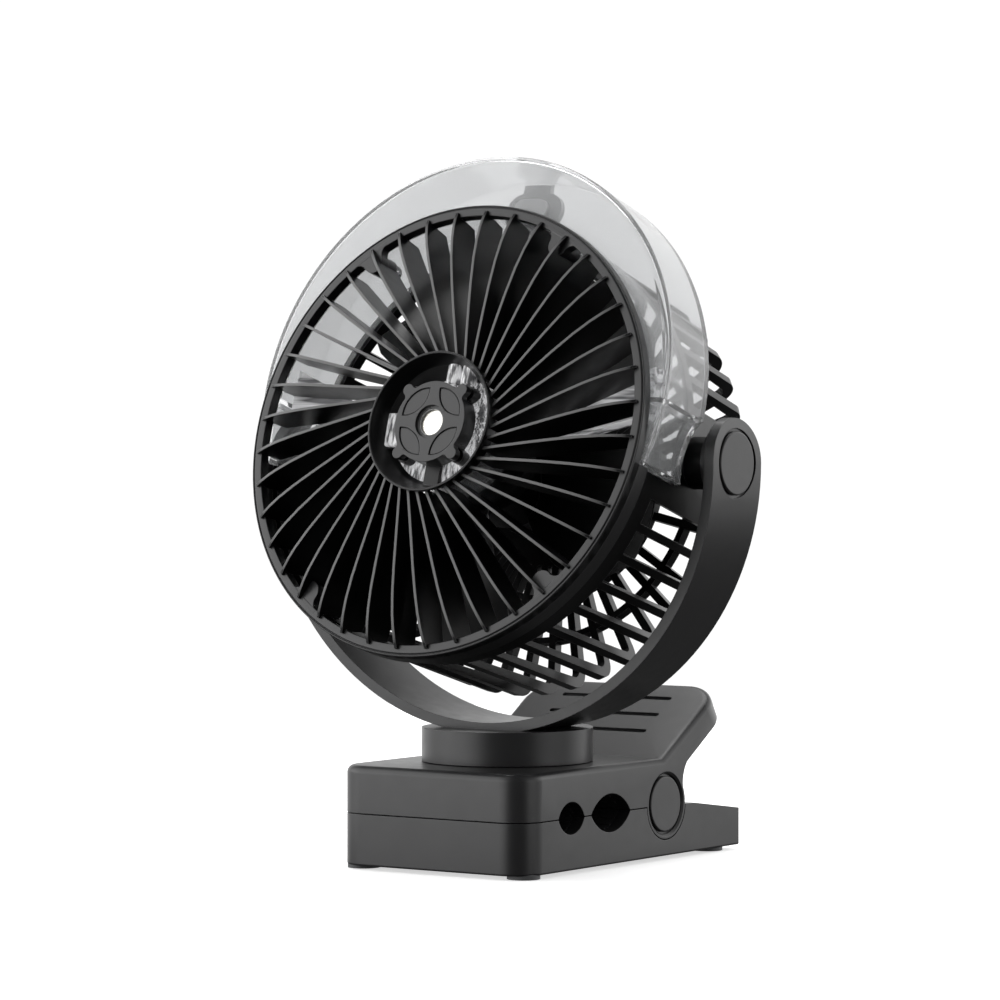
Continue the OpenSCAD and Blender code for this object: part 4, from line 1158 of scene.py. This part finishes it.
@dataclass(frozen=True)
class NozzleCap:
    """The bayonet cap of the mist nozzle, with four ears and four sunk leaves.

    Sizes are in millimetres, in the head's own frame.
    """

    radius: float = 15.8
    top: float = 54.0
    skirt: float = 7.5
    wall: float = 1.8
    ceiling: float = 1.35
    hole: float = 6.4
    lip: Pair = (5.3, 1.1)
    plate: float = 3.0
    ear: float = 2.3
    ear_at: float = 17.4
    ear_in: float = 2.5
    fillet: float = 1.6
    leaf: float = 10.3
    leaf_off: float = 6.75
    leaf_at: float = 10.9
    leaf_deep: float = 0.95
    pad: Pair = (1.2, 0.4)
    groove: float = 0.42
    edge: float = 0.1
    edge_angle: float = 40.0

    def lobe(self) -> Piece:
        """Models an ear that runs into the cap's rim with two fillets.

        Returns:
            The ear.
        """
        low, high = self.top - self.plate, self.top
        reach = self.radius + self.fillet
        angle = 2 * math.asin((self.ear + self.fillet) / (2 * reach))
        x, y = reach * math.cos(angle), reach * math.sin(angle)
        web = block("web", (self.radius - self.ear_in, -y, low), (x, y, high))
        for side in (-1, 1):
            cutter = rod("cutter", self.fillet, low - PAST, high + PAST, 48)
            combine(web, place(cutter, shift(x, side * y)), "DIFFERENCE")
        disc = place(rod("disc", self.ear, low, high, 48), shift(self.ear_at))
        return combine(web, disc, "UNION")

    def leaf_shape(self, inset: float, low: float, high: float) -> Piece:
        """Models a leaf, the overlap of two round rods.

        Args:
            inset: How far it is drawn in.
            low: Height of its lower face.
            high: Height of its upper face.

        Returns:
            The leaf.
        """
        sides = [
            place(rod("leaf", self.leaf - inset, low, high, 160), shift(self.leaf_at + off))
            for off in (-self.leaf_off, self.leaf_off)
        ]
        return combine(*sides, "INTERSECT")

    def build(self) -> None:
        """Models the cap."""
        r, top, inside = self.radius, self.top, self.radius - self.wall
        foot, under = top - self.skirt, top - self.ceiling
        lip, ledge = self.lip[0], top - self.lip[1]
        outline = [(self.hole, top), (r, top), (r, foot), (inside, foot), (inside, under)]
        outline += [(lip, under), (lip, ledge), (self.hole, ledge)]
        cap = turned("mist_cap", outline, 144)
        places = [turn(angle) for angle in QUARTERS]
        for lobe in copies(self.lobe(), places):
            combine(cap, lobe, "UNION")
        for leaf in copies(self.leaf_shape(0.0, top - self.leaf_deep, top + PAST), places):
            combine(cap, leaf, "DIFFERENCE")
        low, high = (top - deep for deep in self.pad)
        pads = copies(self.leaf_shape(self.groove, low, high), places)
        soft = [rounded(piece, self.edge, self.edge_angle) for piece in (cap, *pads)]
        cap = gathered("mist_cap", soft)
        seated(cap, Finish.SHELL, "mist_cap", "nozzle_cap", slot=Finish.INNER)


@dataclass(frozen=True)
class WaterTank:
    """The clear tank: a hollow hood over the duct, two arms and the chamber at the hub.

    Sizes are in millimetres, in the head's own frame.
    """

    radius: float = 93.4
    rise: float = 17.6
    duct: float = 84.8
    front: float = 40.3
    back: float = 9.9
    wall: float = 1.8
    core: float = 2.0
    foot: tuple[Pair, ...] = ((-0.8, 0.0), (-0.6, 0.3))
    edge: float = 3.0
    edge_step: int = 15
    low: float = -12.0
    shelf: float = 12.9
    notch: float = 16.5
    across: float = 120.0

    chamber: float = 23.3
    chamber_ends: Pair = (29.0, 44.9)
    chamber_cores: Pair = (1.0, 1.5)
    chamfer: float = 0.5
    spout: float = 10.4
    spout_ends: Pair = (45.0, 51.0)
    spout_chamfer: float = 0.3

    arm_ends: Pair = (27.0, 33.0)
    arm_sides: Pair = (-5.0, 3.5)
    arm_root: Pair = (1.5, 6.0)
    arm_short: float = 7.5
    arm_rise: float = 19.0
    arm_level: float = 18.25
    arm_flare: float = 2.2
    arm_edge: float = 0.6

    post: Pair = (1.3, 3.4)
    post_ends: Pair = (30.4, 34.2)
    post_web: Triple = (2.5, 5.0, 2.4)

    def hood(self, inset: float) -> Piece:
        """Models the hood's outside, or its inside when drawn in by the wall.

        Args:
            inset: How far it is drawn in.

        Returns:
            The solid.
        """
        r, front, back = self.radius - inset, self.front - inset, self.back + inset
        edge = self.edge - inset
        bend = [math.radians(a) for a in range(0, 91, self.edge_step)]
        curve = [(edge * (math.cos(a) - 1), edge * (math.sin(a) - 1)) for a in bend]
        foot = [(self.core, back), *offset(self.foot, r, back)]
        outline = [*foot, *offset(curve, r, front), (self.core, front)]
        hood = place(turned("hood", outline, 192), shift(y=self.rise))
        combine(hood, rod("duct", self.duct + inset, back - PAST, front + PAST, 192), "DIFFERENCE")
        pivot = rod("pivot", self.notch + inset, -self.across, self.across, 96)
        combine(hood, place(pivot, turn(90, "Y")), "DIFFERENCE")
        return cut_flat(hood, self.low + inset)

    def arm(self) -> Piece:
        """Models the arm that carries water from the hood to the chamber.

        Returns:
            The arm.
        """
        (low, high), (right, left), root = self.arm_ends, self.arm_sides, self.arm_root
        start, end = self.chamber - root[0], self.chamber + root[1]
        piece = block("arm", (start, right, low), (end, left, high))
        reach = self.duct - self.chamber - self.arm_short
        step = {"value": (reach * MM, self.arm_rise * MM, 0)}
        tip = Vector((self.duct, self.arm_level, (low + high) / 2)) * MM
        with editing(piece, Vector((1, 0, 0))):
            bpy.ops.mesh.extrude_region_move(TRANSFORM_OT_translate=step)
            bpy.ops.transform.resize(value=(1, self.arm_flare, 1), center_override=tip)
        return rounded(piece, self.arm_edge)

    def posts(self) -> list[Piece]:
        """Models the two posts by which the grille's upper bosses hold the tank.

        Returns:
            The posts.
        """
        low, high = self.post_ends
        post = collar("post", self.post, self.post_ends, segments=48)
        start, end, half = self.post_web
        web = block("web", (start, -half, low + LAP), (end, half, high - LAP))
        places = [turn(angle) @ shift(BOSS_AT) for angle in BOSSES[:2]]
        return copies(gathered("post", [post, web]), places)

    def build(self) -> None:
        """Models the tank, and its arms as a piece of their own."""
        r, w, c, s = self.chamber, self.wall, self.chamfer, self.spout
        upper = cut_flat(self.hood(w), self.shelf + w / 2)
        lower = cut_flat(self.hood(w), self.shelf - w / 2, keep_above=False)
        hood = hollow(self.hood(0.0), gathered("space", [upper, lower]))
        (low, high), (bore, space) = self.chamber_ends, self.chamber_cores
        shell = collar("chamber", (bore, r), (low, high), foot=c, top=c)
        chamber = hollow(shell, collar("space", (space, r - w), (low + w, high - w)))
        spout = collar("spout", (s - w, s), self.spout_ends, top=self.spout_chamfer)
        across = turn(180, "Y") @ shift(z=-sum(self.arm_ends))
        arms = gathered("clear_arms", copies(self.arm(), [Matrix(), across]))
        seated(arms, Finish.ARM, "head", slot=Finish.TANK)
        whole = gathered("clear_tank", [hood, chamber, spout, *self.posts()])
        seated(whole, Finish.TANK, "head", "water_tank")


@dataclass(frozen=True)
class ClearHub:
    """The tank's clear parts in the cup: a ridged ring, two tubes and a block.

    Sizes are in millimetres, in the head's own frame.
    """

    inner: float = 14.2
    outer: float = 23.0
    base: float = 44.9
    deep: float = 0.4
    ridges: int = 48
    ridge_from: float = -62.0
    ridge_ends: Pair = (0.5, 0.3)
    ridge_half: float = 0.35
    ridge_edge: float = 0.2
    ridge_top: float = 45.6
    tube: float = 3.0
    tube_wall: float = 1.1
    tube_ends: Pair = (15.9, 23.7)
    tube_at: Pair = (3.6, 10.3)
    tube_level: float = 47.7
    bead: float = 0.3
    side_low: Triple = (-23.4, -8.5, 46.5)
    side_high: Triple = (-16.6, 4.8, 49.2)
    side_edge: float = 0.9

    def ring(self) -> list[Piece]:
        """Models the ring, and the low ridges across a third of it.

        Returns:
            The ring and the ridges.
        """
        inner, outer, base, half = self.inner, self.outer, self.base, self.ridge_half
        flat = collar("hub", (inner, outer), (base - self.deep, base), segments=96)
        start, end = inner + self.ridge_ends[0], outer - self.ridge_ends[1]
        ridge = block("ridge", (start, -half, base - LAP), (end, half, self.ridge_top))
        ridge = rounded(ridge, self.ridge_edge)
        step = 360 / self.ridges
        spots = [turn(self.ridge_from + step * i) for i in range(self.ridges // 3)]
        return [flat, *copies(ridge, spots)]

    def tubes(self) -> list[Piece]:
        """Models the two tubes that lie side by side.

        Returns:
            The tubes.
        """
        sides = (self.tube - self.tube_wall, self.tube)
        pipe = collar("tube", sides, self.tube_ends, self.bead, self.bead, segments=48)
        lying = place(pipe, turn(-90, "X"))
        return copies(lying, [shift(x, 0, self.tube_level) for x in self.tube_at])

    def build(self) -> None:
        """Models the clear parts in one piece."""
        side = rounded(block("side", self.side_low, self.side_high), self.side_edge, steps=3)
        whole = gathered("clear_hub", [*self.ring(), *self.tubes(), side])
        seated(whole, Finish.HUB, "head", slot=Finish.TANK)


class Head(Assembly):
    """The fan head: basket, grille, tank, motor and controls."""

    parts = {
        Finish.SHELL: ("rear_cover",),
        Finish.INNER: ("rear_housing", "impeller"),
        Finish.BUTTON: ("fan_button", "mist_button"),
        Finish.SEAL: ("friction_washers", "disc_seal"),
        Finish.PLUG: ("filler_plug",),
        Finish.DISC: ("atomiser_disc",),
        Finish.WICK: ("wick",),
        Finish.LENS: ("status_light",),
        Finish.MOTOR: ("motor_can",),
        Finish.BRASS: ("motor_bearings",),
        Finish.BOARD: ("control_board",),
        Finish.STEEL: (
            "pivot_screws",
            "grille_screws",
            "motor_screws",
            "cover_screws",
            "motor_shaft",
        ),
    }
    models = (SwirlGrille(), NozzleCap(), WaterTank(), ClearHub())


# Studio


@dataclass(frozen=True)
class Studio:
    """White floor, white surroundings, soft lights and the camera. Lengths are in metres.

    The glow's pairs are degrees to the right of the camera and how strongly that side lights.
    The level's pairs are the height of a direction, as a sine, and the share that it keeps.
    A lamp has degrees to the right of the camera, degrees above the floor, a size and watts.
    """

    azimuth: float = 34.7
    elevation: float = 1.2
    distance: float = 1.6611
    lens: float = 154.8
    sensor: float = 36.0
    clip: Pair = (0.05, 50.0)
    target: Triple = (0.0, 0.002, 0.1403)
    side_step: float = -0.004
    backdrop: float = 1.05
    floor_radius: float = 0.9
    floor_drop: float = 0.0002
    floor_glow: float = 0.6
    floor_tints: Pair = (0.93, 0.96)
    floor_clouds: Speckle = Speckle(60.0)
    floor_roughness: float = 0.9
    level: tuple[Pair, ...] = (
        (-1.0, 0.05), (-0.3, 0.08), (-0.03, 1.0), (0.15, 1.0), (0.45, 0.62), (0.75, 0.35),
        (1.0, 0.3),
    )
    glow: tuple[Pair, ...] = (
        (-180, 1.1), (-120, 1.2), (-72, 2.7), (-40, 1.6), (-15, 0.15), (28, 0.15), (52, 1.3),
        (66, 1.3), (84, 0.8), (110, 1.5), (180, 1.1),
    )
    lamps: tuple[tuple[str, float, float, float, float], ...] = (
        ("left", -100, 25, 1.1, 5),
        ("right", 105, 25, 1.1, 2.5),
        ("top", 170, 65, 1.0, 8),
    )
    lamp_distance: float = 1.4

    def toward(self, turn: float, lift: float) -> Vector:
        """Gives the way from the fan to a place, by degrees from the camera and the floor."""
        a, e = math.radians(self.azimuth + turn), math.radians(lift)
        return Vector((math.sin(a) * math.cos(e), -math.cos(a) * math.cos(e), math.sin(e)))

    def right(self) -> Vector:
        """Gives the way to the camera's right."""
        return Vector((0, 0, 1)).cross(self.toward(0, 0))

    def camera(self) -> None:
        """Adds the camera."""
        back, right = self.toward(0, self.elevation), self.right()
        axes = (right, back.cross(right), back)
        data = bpy.data.cameras.new("camera")
        data.lens, data.sensor_width = self.lens, self.sensor
        data.clip_start, data.clip_end = self.clip
        camera = bpy.data.objects.new("camera", data)
        spot = Vector(self.target) + right * self.side_step + back * self.distance
        camera.matrix_world = Matrix.Translation(spot) @ Matrix(axes).transposed().to_4x4()
        bpy.context.scene.collection.objects.link(camera)
        bpy.context.scene.camera = camera

    def floor(self) -> None:
        """Adds the pale floor."""
        deselect()
        bpy.ops.mesh.primitive_circle_add(
            vertices=96,
            radius=self.floor_radius,
            fill_type="NGON",
            location=(0, 0, -self.floor_drop),
        )
        plane = bpy.context.object
        plane.name = "floor"
        plane.visible_diffuse = plane.visible_glossy = False
        g = Graph(bpy.data.materials.new("pale_floor"))
        dark, light = ((tint,) * 3 for tint in self.floor_tints)
        surface = g.finish(
            Base_Color=g.blend(g.spread(g.noise(self.floor_clouds)), dark, light),
            Roughness=self.floor_roughness,
            Emission_Color=(1, 1, 1),
            Emission_Strength=self.floor_glow,
        )
        plane.data.materials.append(surface)

    def surroundings(self) -> None:
        """Makes the world white where it is looked at and softer where it lights."""
        world = bpy.data.worlds.new("studio")
        bpy.context.scene.world = world
        g = Graph(world)
        way, front = g.spaces["Generated"], self.toward(0, 0)
        height = g.fed("ShaderNodeSeparateXYZ", "Z", {0: way})
        angle = g.maths("ARCTAN2", g.likeness(way, self.right()), g.likeness(way, front))
        glow = g.curve(angle, [(math.radians(turn), value) for turn, value in self.glow])
        strength = g.maths("MULTIPLY", g.curve(height, self.level), glow)
        lit, seen = (
            g.fed("ShaderNodeBackground", "Background", {"Color": (1, 1, 1), "Strength": power})
            for power in (strength, self.backdrop)
        )
        rays = g.node("ShaderNodeLightPath").outputs
        looked = g.maths("MAXIMUM", rays["Is Camera Ray"], rays["Is Transmission Ray"])
        mixed = g.fed("ShaderNodeMixShader", "Shader", {0: looked, 1: lit, 2: seen})
        g.join(mixed, g.node("ShaderNodeOutputWorld").inputs["Surface"])

    def light(self) -> None:
        """Adds the lamps, turned to the fan."""
        for name, turn, lift, size, power in self.lamps:
            back = self.toward(turn, lift)
            data = bpy.data.lights.new(name, "AREA")
            data.size, data.energy = size, power
            lamp = bpy.data.objects.new(name, data)
            spot = Matrix.Translation(Vector(self.target) + back * self.lamp_distance)
            lamp.matrix_world = spot @ back.to_track_quat("Z", "Y").to_matrix().to_4x4()
            bpy.context.scene.collection.objects.link(lamp)

    def build(self) -> None:
        """Adds all of the studio."""
        self.camera()
        self.floor()
        self.surroundings()
        self.light()
        scene = bpy.context.scene
        scene.view_settings.view_transform = "Standard"
        scene.view_settings.look = "None"


def main() -> None:
    """Builds the fan and the studio."""
    logging.basicConfig(level=logging.INFO, format="%(name)s %(message)s")
    Studio().build()
    for assembly in (ClipBase(), Turret(), Head()):
        assembly.build()


if __name__ == "__main__":
    main()
